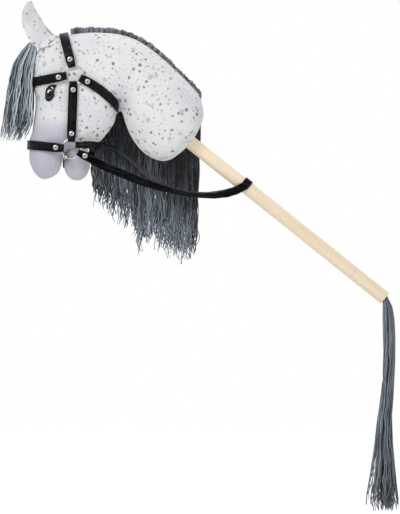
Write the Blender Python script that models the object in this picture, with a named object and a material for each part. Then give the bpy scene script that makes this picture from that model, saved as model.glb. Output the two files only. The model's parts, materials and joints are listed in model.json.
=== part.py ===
"""Hobby horse: a stuffed plush head with a leather bridle on a wooden stick.

The frame has +Z up and the horse looking along -X. The origin is on the stick's axis,
halfway along its bare length. The horse's left side is at -Y. All sizes here are in
millimetres and become metres when a mesh is made.
"""
import math

import bmesh
import bpy
from mathutils import Matrix, Vector
from mathutils.bvhtree import BVHTree

MM = 0.001
GAP = 0.3

# Stick
STICK_RADIUS = 12.5
STICK_TILT = math.radians(38.7)
STICK_TOP = -417.0
STICK_JOINT = 155.0
STICK_END = 230.0
SPIGOT_RADIUS = 6.0
SPIGOT_LENGTH = 18.0
TAIL_HOLE_RADIUS = 6.0
TAIL_HOLE_DEPTH = 25.0
STICK_SIDES = 32

# Head: crest x and z, throat x and z, and half width of each cross section
HEAD_SECTIONS = [
    (-170.8, 155.3, -188.8, 132.9, 14.4),
    (-163.0, 166.0, -195.0, 127.0, 25.0),
    (-154.0, 187.0, -212.0, 112.0, 42.0),
    (-151.0, 204.0, -229.0, 107.0, 51.0),
    (-159.0, 230.0, -252.0, 114.0, 57.0),
    (-181.0, 256.0, -272.0, 129.0, 59.0),
    (-211.0, 285.0, -290.0, 154.0, 57.0),
    (-242.0, 312.0, -302.0, 182.0, 54.0),
    (-274.0, 334.0, -308.0, 204.0, 51.0),
    (-307.0, 346.0, -311.5, 219.0, 49.0),
    (-344.0, 350.0, -313.5, 219.0, 49.0),
    (-378.0, 350.0, -318.0, 206.0, 50.0),
    (-418.0, 344.0, -317.0, 192.0, 51.5),
    (-449.0, 334.0, -319.0, 177.0, 52.5),
    (-468.0, 318.0, -326.0, 166.0, 52.0),
    (-474.0, 298.0, -337.0, 154.0, 50.0),
    (-473.0, 266.0, -346.0, 145.0, 48.0),
    (-471.0, 223.0, -358.0, 137.0, 46.0),
    (-475.0, 179.0, -386.0, 131.0, 44.0),
    (-479.5, 149.0, -412.0, 129.0, 43.0),
    (-480.0, 131.0, -415.5, 122.0, 42.0),
    (-478.0, 112.0, -415.5, 113.0, 40.0),
    (-472.0, 94.0, -419.0, 97.0, 35.0),
    (-461.0, 82.0, -431.0, 82.0, 24.0),
]
HEAD_NOSE_TIP = (-446.0, 76.5)
HEAD_POINTS = 20
HEAD_FULLNESS = 2.25
LONGEST_SECTION_STEP = 30.0
COVER_THICKNESS = 1.5
STUFFING_INSET = 3.2
NECK_OPENING_SECTIONS = 2

CHIN_CENTRE = (-390.5, 107.0)
CHIN_RADII = (26.0, 30.0, 34.0)
CHIN_REST = 1.0

# Ears
EAR_ROWS = [
    # height along the ear, rear edge, front edge
    (3.5, -32.0, 10.4),
    (12.0, -29.7, 16.6),
    (22.0, -26.4, 21.2),
    (31.0, -22.6, 24.0),
    (41.0, -20.4, 25.9),
    (51.0, -18.2, 26.9),
    (61.5, -14.5, 26.4),
    (72.0, -10.5, 22.8),
    (80.0, -8.4, 17.9),
    (87.0, -7.1, 12.0),
    (91.6, -5.0, 4.6),
]
EAR_CUP = 6.2
EAR_WIDEST = 24.0
EAR_THICKNESS = 4.0
EAR_LINING = 1.2
EAR_BASES = {"left": (-451.0, -26.0, 318.0), "right": (-432.5, 26.0, 312.0)}
EAR_LEANS = {"left": math.radians(16.5), "right": math.radians(31.5)}
EAR_SPLAY = math.radians(7.0)
EAR_TURN = math.radians(33.0)
LINING_SHARE = 0.74
LINING_FOOT = 14.0
LINING_REACH = 0.9

# Eyes
EYE_CENTRE = (-440.3, 234.5)
EYE_OUTLINE = [
    # x, z
    (-427.5, 250.2), (-428.6, 246.8), (-430.9, 243.2), (-431.7, 238.5), (-432.0, 232.0),
    (-434.0, 226.6), (-437.6, 222.2), (-442.0, 219.9), (-446.2, 221.0), (-448.5, 224.8),
    (-449.0, 230.5), (-448.6, 237.8), (-446.8, 243.8), (-443.2, 247.8), (-438.4, 250.2),
    (-432.8, 250.4),
]
EYE_INNER_SHARE = 0.55
EYE_THICKNESS = 1.0
EYE_REST = 0.7

# Bridle
STRAP_WIDTH = 17.0
STRAP_TAB = 14.5
STRAP_THICKNESS = 1.8
STRAP_REST = 1.3
LAYER_GAP = 0.25
REIN_WIDTH = 15.5
REIN_TAB = 12.0
REIN_FAR_WIDTH = 12.0
REIN_FAR_TAB = 10.4
REIN_LIFT = 0.6
CHIN_STRAP_WIDTH = 13.0
CHIN_STRAP_TAB = 10.4
THROAT_PINCH = 13.0
WIRE_RADIUS = 1.25
RING_RADIUS = 18.0
WIRE_CLEARANCE = 0.3
LOOP_RADIUS = 2.7
FLAP_END = 42.0
RIVET_PLACE = 28.5
FLAT_ZONE = 33.0
BLEND_ZONE = 54.0
STRAP_SPACING = 9.0
BED_SAMPLES = 48
CHEEK_RING = (-396.0, 270.0)
BIT_RING = (-401.0, 132.0)
CROWN_END = (-415.0, 345.0)
BROW_END = (-474.0, 255.0)
NOSE_END = (-480.0, 140.0)
THROAT_RIVET_AIM = (-371.0, 256.7)
THROAT_ROUTE = [(-360.0, -52.0, 250.5), (-345.0, -48.0, 240.0), (-331.0, -39.0, 227.0),
                (-321.0, -24.0, 215.0), (-317.5, -9.0, 208.0), (-317.0, 0.0, 206.5)]
JAW_FIRST_SECTION = 10
JAW_MIDDLE = (-430.0, 0.0, 220.0)
REIN_ANGLES = {"left": math.radians(-26.0), "right": math.radians(0.5)}
REIN_OFFSETS = {"left": 0.0, "right": -10.6}
REIN_WIDTHS = {"left": (REIN_WIDTH, REIN_TAB), "right": (REIN_FAR_WIDTH, REIN_FAR_TAB)}
CHIN_STRAP_LIFT = 8.2
CHIN_STRAP_FLAT = 18.0
CHIN_STRAP_REACH = 57.6
CHIN_FLAP_END = 32.0
BIT_ANGLE = math.radians(237.0)
BIT_RADIUS = 2.6
BIT_EYE_RADIUS = 3.6
BIT_EYE_WIRE = 1.3
SINGLE_HEIGHT = STRAP_REST + STRAP_THICKNESS / 2.0
DOUBLE_HEIGHT = SINGLE_HEIGHT + STRAP_THICKNESS + LAYER_GAP
WIRE_HEIGHT = SINGLE_HEIGHT + LOOP_RADIUS

RIVET_CAP_RADIUS = 5.75
RIVET_CAP_HEIGHT = 2.3
RIVET_SHANK_RADIUS = 1.5
RIVET_HOLE_RADIUS = 1.9
RIVET_TAIL_RADIUS = 3.0
RIVET_TAIL_HEIGHT = 0.6

# Reins over the stick: x, y, z and the turn of the leather's outer side towards the floor
REIN_WIDENS = (-352.0, -300.0)
REIN_CROSSING = -102.5
REIN_NEAR_ROUTE = [
    (-352.0, -49.0, 106.0, 4.0),
    (-335.0, -47.5, 98.0, 8.0),
    (-303.0, -44.0, 85.0, 16.0),
    (-271.0, -40.0, 72.0, 26.0),
    (-240.0, -36.0, 62.0, 40.0),
    (-212.0, -32.0, 54.0, 55.0),
    (-186.0, -28.5, 48.5, 62.0),
    (-160.0, -25.0, 46.0, 60.0),
    (-136.0, -21.5, 46.0, 50.0),
    (-112.0, -18.0, 50.0, 30.0),
    (-94.0, -15.5, 57.0, 10.0),
]
REIN_FAR_ROUTE = [
    (-361.0, 52.4, 122.4, 2.0),
    (-354.0, 53.6, 125.0, 10.0),
    (-346.5, 52.8, 130.0, 24.0),
    (-338.0, 50.8, 134.8, 38.0),
    (-328.0, 48.8, 135.4, 52.0),
    (-318.0, 47.1, 131.2, 60.0),
    (-308.5, 45.7, 125.8, 62.0),
    (-299.5, 44.5, 119.2, 64.0),
    (-290.6, 43.2, 111.8, 64.0),
    (-281.0, 41.7, 103.0, 63.0),
    (-270.0, 40.0, 92.8, 62.0),
    (-255.0, 37.5, 79.4, 61.0),
    (-238.0, 35.0, 67.8, 60.0),
    (-219.0, 32.0, 58.8, 60.0),
    (-200.0, 29.3, 53.0, 60.0),
    (-178.0, 26.6, 49.5, 60.0),
    (-150.0, 23.0, 48.0, 55.0),
    (-122.0, 19.0, 50.0, 35.0),
    (-98.0, 15.5, 55.0, 10.0),
]

# Yarn
CREST_BAND = [(-401.0, 347.2), (-378.0, 350.0), (-344.0, 350.0), (-307.0, 346.0), (-274.0, 334.0), (-242.0, 312.0),
              (-211.0, 285.0), (-181.0, 256.0), (-161.0, 232.0)]
BAND_HALF_WIDTH = 9.0
BAND_HALF_HEIGHT = 3.8
BAND_SIDE = 4.0
BAND_REST = 0.9
MANE_LEFT = (-362.0, -374.0)
MANE_RIGHT = (-168.0, -167.0)
MANE_HEM = [(-362.0, 8.0), (-346.0, -4.0), (-318.0, -20.0), (-290.0, -27.0),
            (-268.0, -55.0), (-240.0, -50.0), (-213.0, -68.0), (-188.0, -76.0), (-168.0, -68.0)]
MANE_CLEARANCE = 4.0
MANE_THICKNESS = 10.0
MANE_TOP_SIDE = 15.0
MANE_TOP_RISE = 5.0
MANE_STAND_OFF = [(0.0, 210.0, 58.0), (-330.0, 295.0, 63.5)]
MANE_HINGE = (-247.0, 8.0, 332.0)
MANE_COLUMNS = 12
MANE_ROWS = 12
FORELOCK_SECTIONS = [
    # z, front x, rear x, half width
    (326.0, -482.0, -476.5, 9.0),
    (312.0, -496.0, -478.5, 17.0),
    (292.0, -507.0, -480.0, 21.0),
    (262.0, -516.0, -481.5, 23.0),
    (222.0, -522.0, -480.0, 25.0),
    (185.0, -528.0, -478.5, 26.0),
    (160.0, -526.0, -484.0, 25.0),
]
FORELOCK_HINGE = (-478.0, 0.0, 329.0)
TAIL_HINGE_OUT = 6.5
TAIL_NECK = 5.0
TAIL_SECTIONS = [
    # z, left x, right x
    (-162.0, 176.0, 194.0),
    (-180.0, 175.5, 196.0),
    (-208.0, 176.0, 198.0),
    (-260.0, 177.0, 198.0),
    (-313.0, 173.0, 195.0),
    (-366.0, 166.0, 192.0),
    (-419.0, 160.0, 194.0),
    (-472.0, 152.0, 199.0),
    (-531.0, 144.0, 204.0),
]

SIDES = {"left": -1.0, "right": 1.0}


# Materials

def make_material(name, color, roughness, metallic=0.0):
    material = bpy.data.materials.new(name)
    material.use_nodes = True
    shader = material.node_tree.nodes["Principled BSDF"]
    shader.inputs["Base Color"].default_value = (*color, 1.0)
    shader.inputs["Roughness"].default_value = roughness
    shader.inputs["Metallic"].default_value = metallic
    material.diffuse_color = (*color, 1.0)
    return material


# Meshes

def add_object(name, bm, material, pivot=(0.0, 0.0, 0.0), smooth_angle=40.0):
    """Turn a mesh in millimetres into an object in metres with its origin at the pivot."""
    origin = Vector(pivot)
    bmesh.ops.remove_doubles(bm, verts=bm.verts, dist=0.001)
    bmesh.ops.recalc_face_normals(bm, faces=bm.faces)
    bmesh.ops.translate(bm, verts=bm.verts, vec=-origin)
    bmesh.ops.scale(bm, verts=bm.verts, vec=(MM, MM, MM))
    mesh = bpy.data.meshes.new(name)
    bm.to_mesh(mesh)
    bm.free()
    mesh.shade_smooth()
    mesh.set_sharp_from_angle(angle=math.radians(smooth_angle))
    mesh.materials.append(material)
    part = bpy.data.objects.new(name, mesh)
    part.location = origin * MM
    bpy.context.scene.collection.objects.link(part)
    return part


def loft(rings, tip_start=None, tip_end=None):
    """Skin a row of closed rings and close both ends, each with a fan to a tip."""
    bm = bmesh.new()
    loops = [[bm.verts.new(point) for point in ring] for ring in rings]
    count = len(rings[0])
    for lower, upper in zip(loops, loops[1:]):
        for k in range(count):
            j = (k + 1) % count
            bm.faces.new((lower[k], lower[j], upper[j], upper[k]))
    for loop, tip in ((loops[0], tip_start), (loops[-1], tip_end)):
        if tip is None:
            bm.faces.new(loop)
            continue
        centre = bm.verts.new(tip)
        for k in range(count):
            bm.faces.new((loop[k], loop[(k + 1) % count], centre))
    return bm


def middle(ring):
    return sum(ring, Vector()) / len(ring)


def turned(profile, start, direction, sides):
    """Revolve a row of (distance, radius) points about an axis."""
    axis = Vector(direction).normalized()
    across = axis.orthogonal().normalized()
    other = axis.cross(across)
    rings = []
    for distance, radius in profile:
        centre = Vector(start) + axis * distance
        rings.append([
            centre + (across * math.cos(a) + other * math.sin(a)) * radius
            for a in (2.0 * math.pi * k / sides for k in range(sides))
        ])
    return loft(rings)


def cut(part, other_mesh, operation="DIFFERENCE"):
    """Take a closed mesh away from a part, or join it on, with an exact Boolean."""
    tool = add_object("cutter", other_mesh, part.data.materials[0])
    modifier = part.modifiers.new("cut", "BOOLEAN")
    modifier.operation = operation
    modifier.solver = "EXACT"
    modifier.object = tool
    bpy.context.view_layer.update()
    evaluated = part.evaluated_get(bpy.context.evaluated_depsgraph_get())
    mesh = bpy.data.meshes.new_from_object(evaluated)
    part.modifiers.clear()
    old = part.data
    part.data = mesh
    mesh.name = part.name
    bpy.data.meshes.remove(old)
    bpy.data.objects.remove(tool)


def catmull(a, b, c, d, t):
    """Point at t between b and c on a smooth curve through four points."""
    return 0.5 * ((2.0 * b) + (c - a) * t + (2.0 * a - 5.0 * b + 4.0 * c - d) * t * t
                  + (3.0 * b - a - 3.0 * c + d) * t * t * t)


def smooth_row(row, steps_of):
    """Add points between the stations of a row, as many as steps_of asks for each."""
    fine = []
    for i in range(len(row) - 1):
        before = row[max(i - 1, 0)]
        after = row[min(i + 2, len(row) - 1)]
        steps = steps_of(row[i], row[i + 1])
        for k in range(steps):
            t = k / steps
            fine.append(tuple(catmull(a, b, c, d, t)
                              for a, b, c, d in zip(before, row[i], row[i + 1], after)))
    fine.append(tuple(row[-1]))
    return fine


# Stick

STICK_AXIS = Vector((math.cos(STICK_TILT), 0.0, -math.sin(STICK_TILT)))
STICK_UP = Vector((math.sin(STICK_TILT), 0.0, math.cos(STICK_TILT)))


def on_stick(distance):
    return STICK_AXIS * distance


def build_stick(wood):
    chamfer = 1.0
    profile = [(STICK_TOP, STICK_RADIUS - chamfer), (STICK_TOP + chamfer, STICK_RADIUS),
               (STICK_JOINT - GAP, STICK_RADIUS), (STICK_JOINT - GAP, SPIGOT_RADIUS),
               (STICK_JOINT + SPIGOT_LENGTH, SPIGOT_RADIUS)]
    add_object("stick", turned(profile, (0, 0, 0), STICK_AXIS, STICK_SIDES), wood)
    end = STICK_END
    profile = [(STICK_JOINT, STICK_RADIUS), (end - chamfer, STICK_RADIUS),
               (end, STICK_RADIUS - chamfer)]
    piece = add_object("stick_end_piece", turned(profile, (0, 0, 0), STICK_AXIS, STICK_SIDES), wood)
    socket = [(STICK_JOINT - 1.0, SPIGOT_RADIUS + GAP),
              (STICK_JOINT + SPIGOT_LENGTH + 1.0, SPIGOT_RADIUS + GAP)]
    cut(piece, turned(socket, (0, 0, 0), STICK_AXIS, 20))
    hole = [(end - TAIL_HOLE_DEPTH, TAIL_HOLE_RADIUS), (end + 1.0, TAIL_HOLE_RADIUS)]
    cut(piece, turned(hole, (0, 0, 0), STICK_AXIS, 20))


# Head

def section_steps(a, b):
    crest = math.hypot(a[0] - b[0], a[1] - b[1])
    throat = math.hypot(a[2] - b[2], a[3] - b[3])
    return max(1, math.ceil(max(crest, throat) / LONGEST_SECTION_STEP))


def section_ring(section, inset):
    """One closed cross section, a rounded oval between the crest and the throat."""
    crest = Vector((section[0], 0.0, section[1]))
    throat = Vector((section[2], 0.0, section[3]))
    centre = (crest + throat) / 2.0
    along = (crest - throat).normalized()
    reach = (crest - throat).length / 2.0 - inset
    breadth = section[4] - inset
    fullness = 2.0 if section[4] < 26.0 else HEAD_FULLNESS
    ring = []
    for k in range(HEAD_POINTS):
        angle = 2.0 * math.pi * k / HEAD_POINTS
        c = math.cos(angle)
        s = math.sin(angle)
        u = math.copysign(abs(c) ** (2.0 / fullness), c) * reach
        v = math.copysign(abs(s) ** (2.0 / fullness), s) * breadth
        ring.append(centre + along * u + Vector((0.0, v, 0.0)))
    return ring


def head_rings(inset, sections=HEAD_SECTIONS):
    return [section_ring(row, inset) for row in smooth_row(sections, section_steps)]


def nose_tip(inset):
    return Vector((HEAD_NOSE_TIP[0], 0.0, HEAD_NOSE_TIP[1] + inset))


def head_solid(inset):
    """The closed outer form of the head, grown or shrunk by an inset."""
    rings = head_rings(inset)
    return loft(rings, middle(rings[0]), nose_tip(inset))


def build_head(plush, fibre):
    outer = head_rings(0.0)
    inner = head_rings(COVER_THICKNESS)
    shell = loft(inner[::-1] + outer, nose_tip(COVER_THICKNESS), nose_tip(0.0))
    add_object("head_cover", shell, plush)
    rings = head_rings(STUFFING_INSET, HEAD_SECTIONS[NECK_OPENING_SECTIONS:])
    stuffing = add_object("head_stuffing",
                          loft(rings, middle(rings[0]), nose_tip(STUFFING_INSET)), fibre)
    bore = [(STICK_TOP - 1.0, STICK_RADIUS + GAP), (0.0, STICK_RADIUS + GAP)]
    cut(stuffing, turned(bore, (0, 0, 0), STICK_AXIS, STICK_SIDES))


def build_chin(plush):
    bm = bmesh.new()
    bmesh.ops.create_uvsphere(bm, u_segments=16, v_segments=10, radius=1.0)
    bmesh.ops.scale(bm, verts=bm.verts, vec=CHIN_RADII)
    bmesh.ops.translate(bm, verts=bm.verts, vec=(CHIN_CENTRE[0], 0.0, CHIN_CENTRE[1]))
    pouch = add_object("chin_pad", bm, plush)
    cut(pouch, head_solid(-CHIN_REST))
    bit = bit_centre()
    channel = [(-60.0, BIT_RADIUS + 0.4), (60.0, BIT_RADIUS + 0.4)]
    cut(pouch, turned(channel, (bit[0], 0.0, bit[1]), (0, 1, 0), 16))


# Surface of the head, for what is laid on it

class Surface:
    """Outer surface of the head as seen from inside, for laying straps and patches on it."""

    def __init__(self, mesh):
        bmesh.ops.recalc_face_normals(mesh, faces=mesh.faces)
        self.tree = BVHTree.FromBMesh(mesh)

    def outward(self, origin, direction):
        """Where a line from inside the head comes out."""
        return self.tree.ray_cast(origin, direction.normalized())[0]

    def side(self, x, z, sign):
        """Half width of the head at x and z, on the side given by sign, or None."""
        hit = self.tree.ray_cast(Vector((x, sign * 300.0, z)), Vector((0.0, -sign, 0.0)))[0]
        return None if hit is None else abs(hit.y)


def ring_plane(surface, centre, aims):
    """Half width at which the flat strap ends round a ring clear the head."""
    reach = [surface.side(centre[0], centre[1], -1.0)]
    for angle in range(0, 360, 30):
        for distance in (RING_RADIUS, RING_RADIUS + 6.0):
            x = centre[0] + distance * math.cos(math.radians(angle))
            z = centre[1] + distance * math.sin(math.radians(angle))
            reach.append(surface.side(x, z, -1.0) or 0.0)
    for aim in aims:
        for distance in (24.0, FLAT_ZONE, FLAP_END):
            for across in (-STRAP_WIDTH / 2.0, 0.0, STRAP_WIDTH / 2.0):
                x = centre[0] + distance * aim[0] - across * aim[1]
                z = centre[1] + distance * aim[1] + across * aim[0]
                reach.append(surface.side(x, z, -1.0) or 0.0)
    return max(reach)


def aim_to(start, end):
    x = end[0] - start[0]
    z = end[1] - start[1]
    length = math.hypot(x, z)
    return (x / length, z / length)


def smooth_step(a, b, x):
    t = min(max((x - a) / (b - a), 0.0), 1.0)
    return t * t * (3.0 - 2.0 * t)


def mirrored(point):
    return Vector((point.x, -point.y, point.z))


def relaxed(points, passes=3):
    """Even out a row of points whose first stays and whose last is on the middle plane."""
    for _ in range(passes):
        old = list(points)
        for i in range(1, len(points)):
            after = mirrored(old[i - 1]) if i == len(points) - 1 else old[i + 1]
            points[i] = (old[i - 1] + old[i] * 2.0 + after) / 4.0
    return points


def wrap_bed(surface, start, aim, plane, width, fan=0.0):
    """Half of a strap's bed, from beside a ring at -Y round to the middle plane.

    The head is sampled by a fan of lines whose centre lies this far from the ring.
    """
    forward = Vector((aim[0], 0.0, aim[1]))
    across = Vector((-aim[1], 0.0, aim[0]))
    origin = Vector((start[0], 0.0, start[1]))
    points = []
    sides = []
    for k in range(round(fan / 3.0)):
        points.append(origin + forward * 3.0 * k + Vector((0.0, -plane, 0.0)))
        sides.append(across)
    centre = origin + forward * fan
    for k in range(BED_SAMPLES + 1):
        angle = math.radians(90.0) * (1.0 - k / BED_SAMPLES)
        ray = forward * math.cos(angle) + Vector((0.0, -math.sin(angle), 0.0))
        edges = [surface.outward(centre + across * w, ray) for w in (-width / 2.0, width / 2.0)]
        hit = surface.outward(centre, ray)
        mean = (edges[0] + edges[1]) / 2.0
        point = mean if (mean - hit).dot(ray) > 0.0 else hit
        share = smooth_step(FLAT_ZONE, BLEND_ZONE, (point - origin).dot(forward))
        y = min(point.y, point.y * share - plane * (1.0 - share))
        points.append(Vector((point.x, y, point.z)))
        side = (edges[1] - edges[0]).normalized()
        sides.append((across * (1.0 - share) + side * share).normalized())
    return finish_bed(relaxed(points), sides, forward, origin)


def lifted(surface, point, outward, across, width):
    """Move a strap's seat along outward until its middle and both edges clear the head."""
    rise = []
    for w in (-width / 2.0, 0.0, width / 2.0):
        spot = point + across * w
        hit = surface.outward(spot - outward * 15.0, outward)
        if hit is not None:
            rise.append((hit - spot).dot(outward))
    return point + outward * max(rise, default=0.0)


def chin_bed(surface, plane):
    """Half bed of the chin strap: straight back from the ring, then round under the jaw."""
    forward = Vector((1.0, 0.0, 0.0))
    across = Vector((0.0, 0.0, 1.0))
    origin = Vector((BIT_RING[0], 0.0, BIT_RING[1] + CHIN_STRAP_LIFT))
    points = [origin + Vector((9.0 + 3.0 * k, -plane, 0.0)) for k in range(4)]
    centre = origin + forward * CHIN_STRAP_FLAT
    reach = CHIN_STRAP_REACH - CHIN_STRAP_FLAT
    for k in range(BED_SAMPLES + 1):
        angle = math.radians(90.0) * (1.0 - k / BED_SAMPLES)
        c = math.cos(angle)
        s = math.sin(angle)
        point = centre + Vector((reach * c ** 0.75, -plane * s ** 0.75, 0.0))
        ray = (point - centre).normalized()
        for w in (-CHIN_STRAP_WIDTH / 2.0, 0.0, CHIN_STRAP_WIDTH / 2.0):
            hit = surface.outward(centre + across * w, ray)
            if hit is not None and (hit - across * w - point).dot(ray) > 0.0:
                point = hit - across * w
        points.append(point)
    sides = [across] * len(points)
    return finish_bed(relaxed(points), sides, forward, origin)


def finish_bed(points, sides, forward, origin):
    """Stations of a bed: distance from the ring, point, outward and across."""
    bed = []
    last = len(points) - 1
    for i, (point, side) in enumerate(zip(points, sides)):
        after = mirrored(points[i - 1]) if i == last else points[i + 1]
        run = (after - points[max(i - 1, 0)]).normalized()
        outward = run.cross(side).normalized()
        bed.append(((point - origin).dot(forward), point, outward, outward.cross(run)))
    return bed


def bed_at(bed, distance):
    """Point, outward and across of a bed at a distance from its ring."""
    for a, b in zip(bed, bed[1:]):
        if b[0] >= distance:
            t = (distance - a[0]) / max(b[0] - a[0], 1e-6)
            return tuple(u.lerp(v, t) for u, v in zip(a[1:], b[1:]))
    return bed[-1][1:]


def loop_profile(half_width, offset=0.0, flap=FLAP_END):
    """Distance and height along a strap's folded end, from the flap's tip round the wire."""
    edges = (offset - half_width, offset + half_width)
    nearest = 0.0 if edges[0] < 0.0 < edges[1] else min(abs(w) for w in edges)
    out = math.sqrt(RING_RADIUS ** 2 - nearest ** 2) + 3.0 * WIRE_CLEARANCE
    farthest = max(abs(w) for w in edges)
    wire = math.sqrt((RING_RADIUS - WIRE_RADIUS) ** 2 - farthest ** 2)
    back = wire - WIRE_CLEARANCE + LOOP_RADIUS - STRAP_THICKNESS / 2.0
    layers = [flap, flap - 6.5, RIVET_PLACE - 6.6]
    if flap > RIVET_PLACE + 8.0:
        layers.insert(2, RIVET_PLACE)
    profile = [(distance, SINGLE_HEIGHT) for distance in layers]
    profile.append((out, SINGLE_HEIGHT))
    for k in range(7):
        angle = math.radians(-90.0 - 30.0 * k)
        profile.append((back + LOOP_RADIUS * math.cos(angle),
                        WIRE_HEIGHT + LOOP_RADIUS * math.sin(angle)))
    profile.append((out, WIRE_HEIGHT + LOOP_RADIUS))
    profile += [(distance, DOUBLE_HEIGHT) for distance in layers[::-1]]
    return profile


def strap_width(distance, full, tab):
    """Straps narrow a little where they fold round a ring."""
    return tab + (full - tab) * smooth_step(RING_RADIUS, RIVET_PLACE - 4.0, distance)


def loop_stations(bed, profile, full, tab):
    """Folded end of a strap as (point, across, width) stations."""
    stations = []
    for distance, height in profile:
        point, outward, across = bed_at(bed, distance)
        stations.append((point + outward * height, across, strap_width(distance, full, tab)))
    return stations


def run_stations(bed, start, full, pinch, spacing):
    """The single part of a strap, from past the flap to the end of its bed."""
    first = next(i for i, station in enumerate(bed) if station[0] > start)
    inner = bed[first:]
    points = [station[1] for station in inner]
    lengths = [0.0]
    for a, b in zip(points, points[1:]):
        lengths.append(lengths[-1] + (b - a).length)
    count = max(2, round(lengths[-1] / spacing))
    stations = []
    j = 0
    for k in range(count + 1):
        want = lengths[-1] * k / count
        while j < len(lengths) - 2 and lengths[j + 1] < want:
            j += 1
        t = (want - lengths[j]) / max(lengths[j + 1] - lengths[j], 1e-6)
        point, outward, across = (u.lerp(v, t) for u, v in zip(inner[j][1:], inner[j + 1][1:]))
        width = full + (pinch - full) * smooth_step(0.4, 1.0, k / count)
        stations.append((point + outward * SINGLE_HEIGHT, across, width))
    return stations


def mirrored_station(station):
    return (mirrored(station[0]), mirrored(station[1]), station[2])


def ribbon_from(stations):
    """A strap as one closed mesh through (point, across, width) stations."""
    rings = []
    last = len(stations) - 1
    for i, (point, across, width) in enumerate(stations):
        run = (stations[min(i + 1, last)][0] - stations[max(i - 1, 0)][0]).normalized()
        outward = run.cross(across).normalized()
        side = outward.cross(run) * (width / 2.0)
        rise = outward * (STRAP_THICKNESS / 2.0)
        rings.append([point - side - rise, point + side - rise,
                      point + side + rise, point - side + rise])
    return loft(rings)


def rivet_frames(bed, signs=(-1.0, 1.0)):
    """Seat and direction of the rivet through a strap's end, on each side of the head."""
    point, outward, _ = bed_at(bed, RIVET_PLACE)
    frames = []
    for sign in signs:
        if sign < 0.0:
            frames.append((point, outward))
        else:
            frames.append((mirrored(point), mirrored(outward)))
    return frames


def punch(part, frames):
    for point, outward in frames:
        profile = [(0.2, RIVET_HOLE_RADIUS), (WIRE_HEIGHT + 4.0, RIVET_HOLE_RADIUS)]
        cut(part, turned(profile, point, outward, 12))


def build_rivet(name, frame, metal, pivot=(0.0, 0.0, 0.0)):
    """A capped rivet: domed head outside, shank through both layers, flat tail inside."""
    point, outward = frame
    tail_top = STRAP_REST - GAP
    face = DOUBLE_HEIGHT + STRAP_THICKNESS / 2.0 + GAP
    profile = [(tail_top - RIVET_TAIL_HEIGHT, RIVET_TAIL_RADIUS), (tail_top, RIVET_TAIL_RADIUS),
               (tail_top, RIVET_SHANK_RADIUS), (face, RIVET_SHANK_RADIUS),
               (face, RIVET_CAP_RADIUS)]
    for angle in (30.0, 62.0):
        a = math.radians(angle)
        profile.append((face + RIVET_CAP_HEIGHT * math.sin(a), RIVET_CAP_RADIUS * math.cos(a)))
    add_object(name, turned(profile, point, outward, 10), metal, pivot)


def wrapped_strap(name, leather, bed, full=STRAP_WIDTH, tab=STRAP_TAB, offset=0.0,
                  pinch=None, flap=FLAP_END, rivets=True):
    """A strap that runs from the left ring round the head to the right ring."""
    half = loop_stations(bed, loop_profile(tab / 2.0, offset, flap), full, tab)
    half += run_stations(bed, flap + 6.0, full, pinch or full, STRAP_SPACING)
    stations = half + [mirrored_station(s) for s in half[-2::-1]]
    strap = add_object(name, ribbon_from(stations), leather)
    if rivets:
        punch(strap, rivet_frames(bed))
    return strap


# Rings, cheekpieces and bit

def build_ring(name, centre, y, metal):
    pivot = Vector((centre[0], y, centre[1]))
    bm = bmesh.new()
    steps = 20
    sides = 6
    rings = []
    for k in range(steps):
        a = 2.0 * math.pi * k / steps
        radial = Vector((math.cos(a), 0.0, math.sin(a)))
        rings.append([
            pivot + radial * (RING_RADIUS + WIRE_RADIUS * math.cos(b))
            + Vector((0.0, WIRE_RADIUS * math.sin(b), 0.0))
            for b in (2.0 * math.pi * (j + 0.5) / sides for j in range(sides))
        ])
    loops = [[bm.verts.new(p) for p in ring] for ring in rings]
    for k in range(steps):
        ring = loops[k]
        following = loops[(k + 1) % steps]
        for j in range(sides):
            i = (j + 1) % sides
            bm.faces.new((ring[j], ring[i], following[i], following[j]))
    add_object(name, bm, metal, pivot)


def cheekpiece_bed(surface, top_plane, low_plane):
    """Bed of a cheekpiece, from the cheek ring down to the bit ring, on the left side."""
    aim = aim_to(CHEEK_RING, BIT_RING)
    forward = Vector((aim[0], 0.0, aim[1]))
    across = Vector((-aim[1], 0.0, aim[0]))
    origin = Vector((CHEEK_RING[0], 0.0, CHEEK_RING[1]))
    length = math.hypot(BIT_RING[0] - CHEEK_RING[0], BIT_RING[1] - CHEEK_RING[1])
    bed = []
    steps = 40
    for k in range(steps + 1):
        distance = length * k / steps
        share = smooth_step(FLAT_ZONE, length - FLAT_ZONE, distance)
        y = top_plane * (1.0 - share) + low_plane * share
        for w in (-STRAP_WIDTH / 2.0, 0.0, STRAP_WIDTH / 2.0):
            spot = origin + forward * distance + across * w
            y = max(y, surface.side(spot.x, spot.z, -1.0) or 0.0)
        bed.append((distance, origin + forward * distance + Vector((0.0, -y, 0.0)),
                    Vector((0.0, -1.0, 0.0)), across))
    return bed, length


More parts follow.
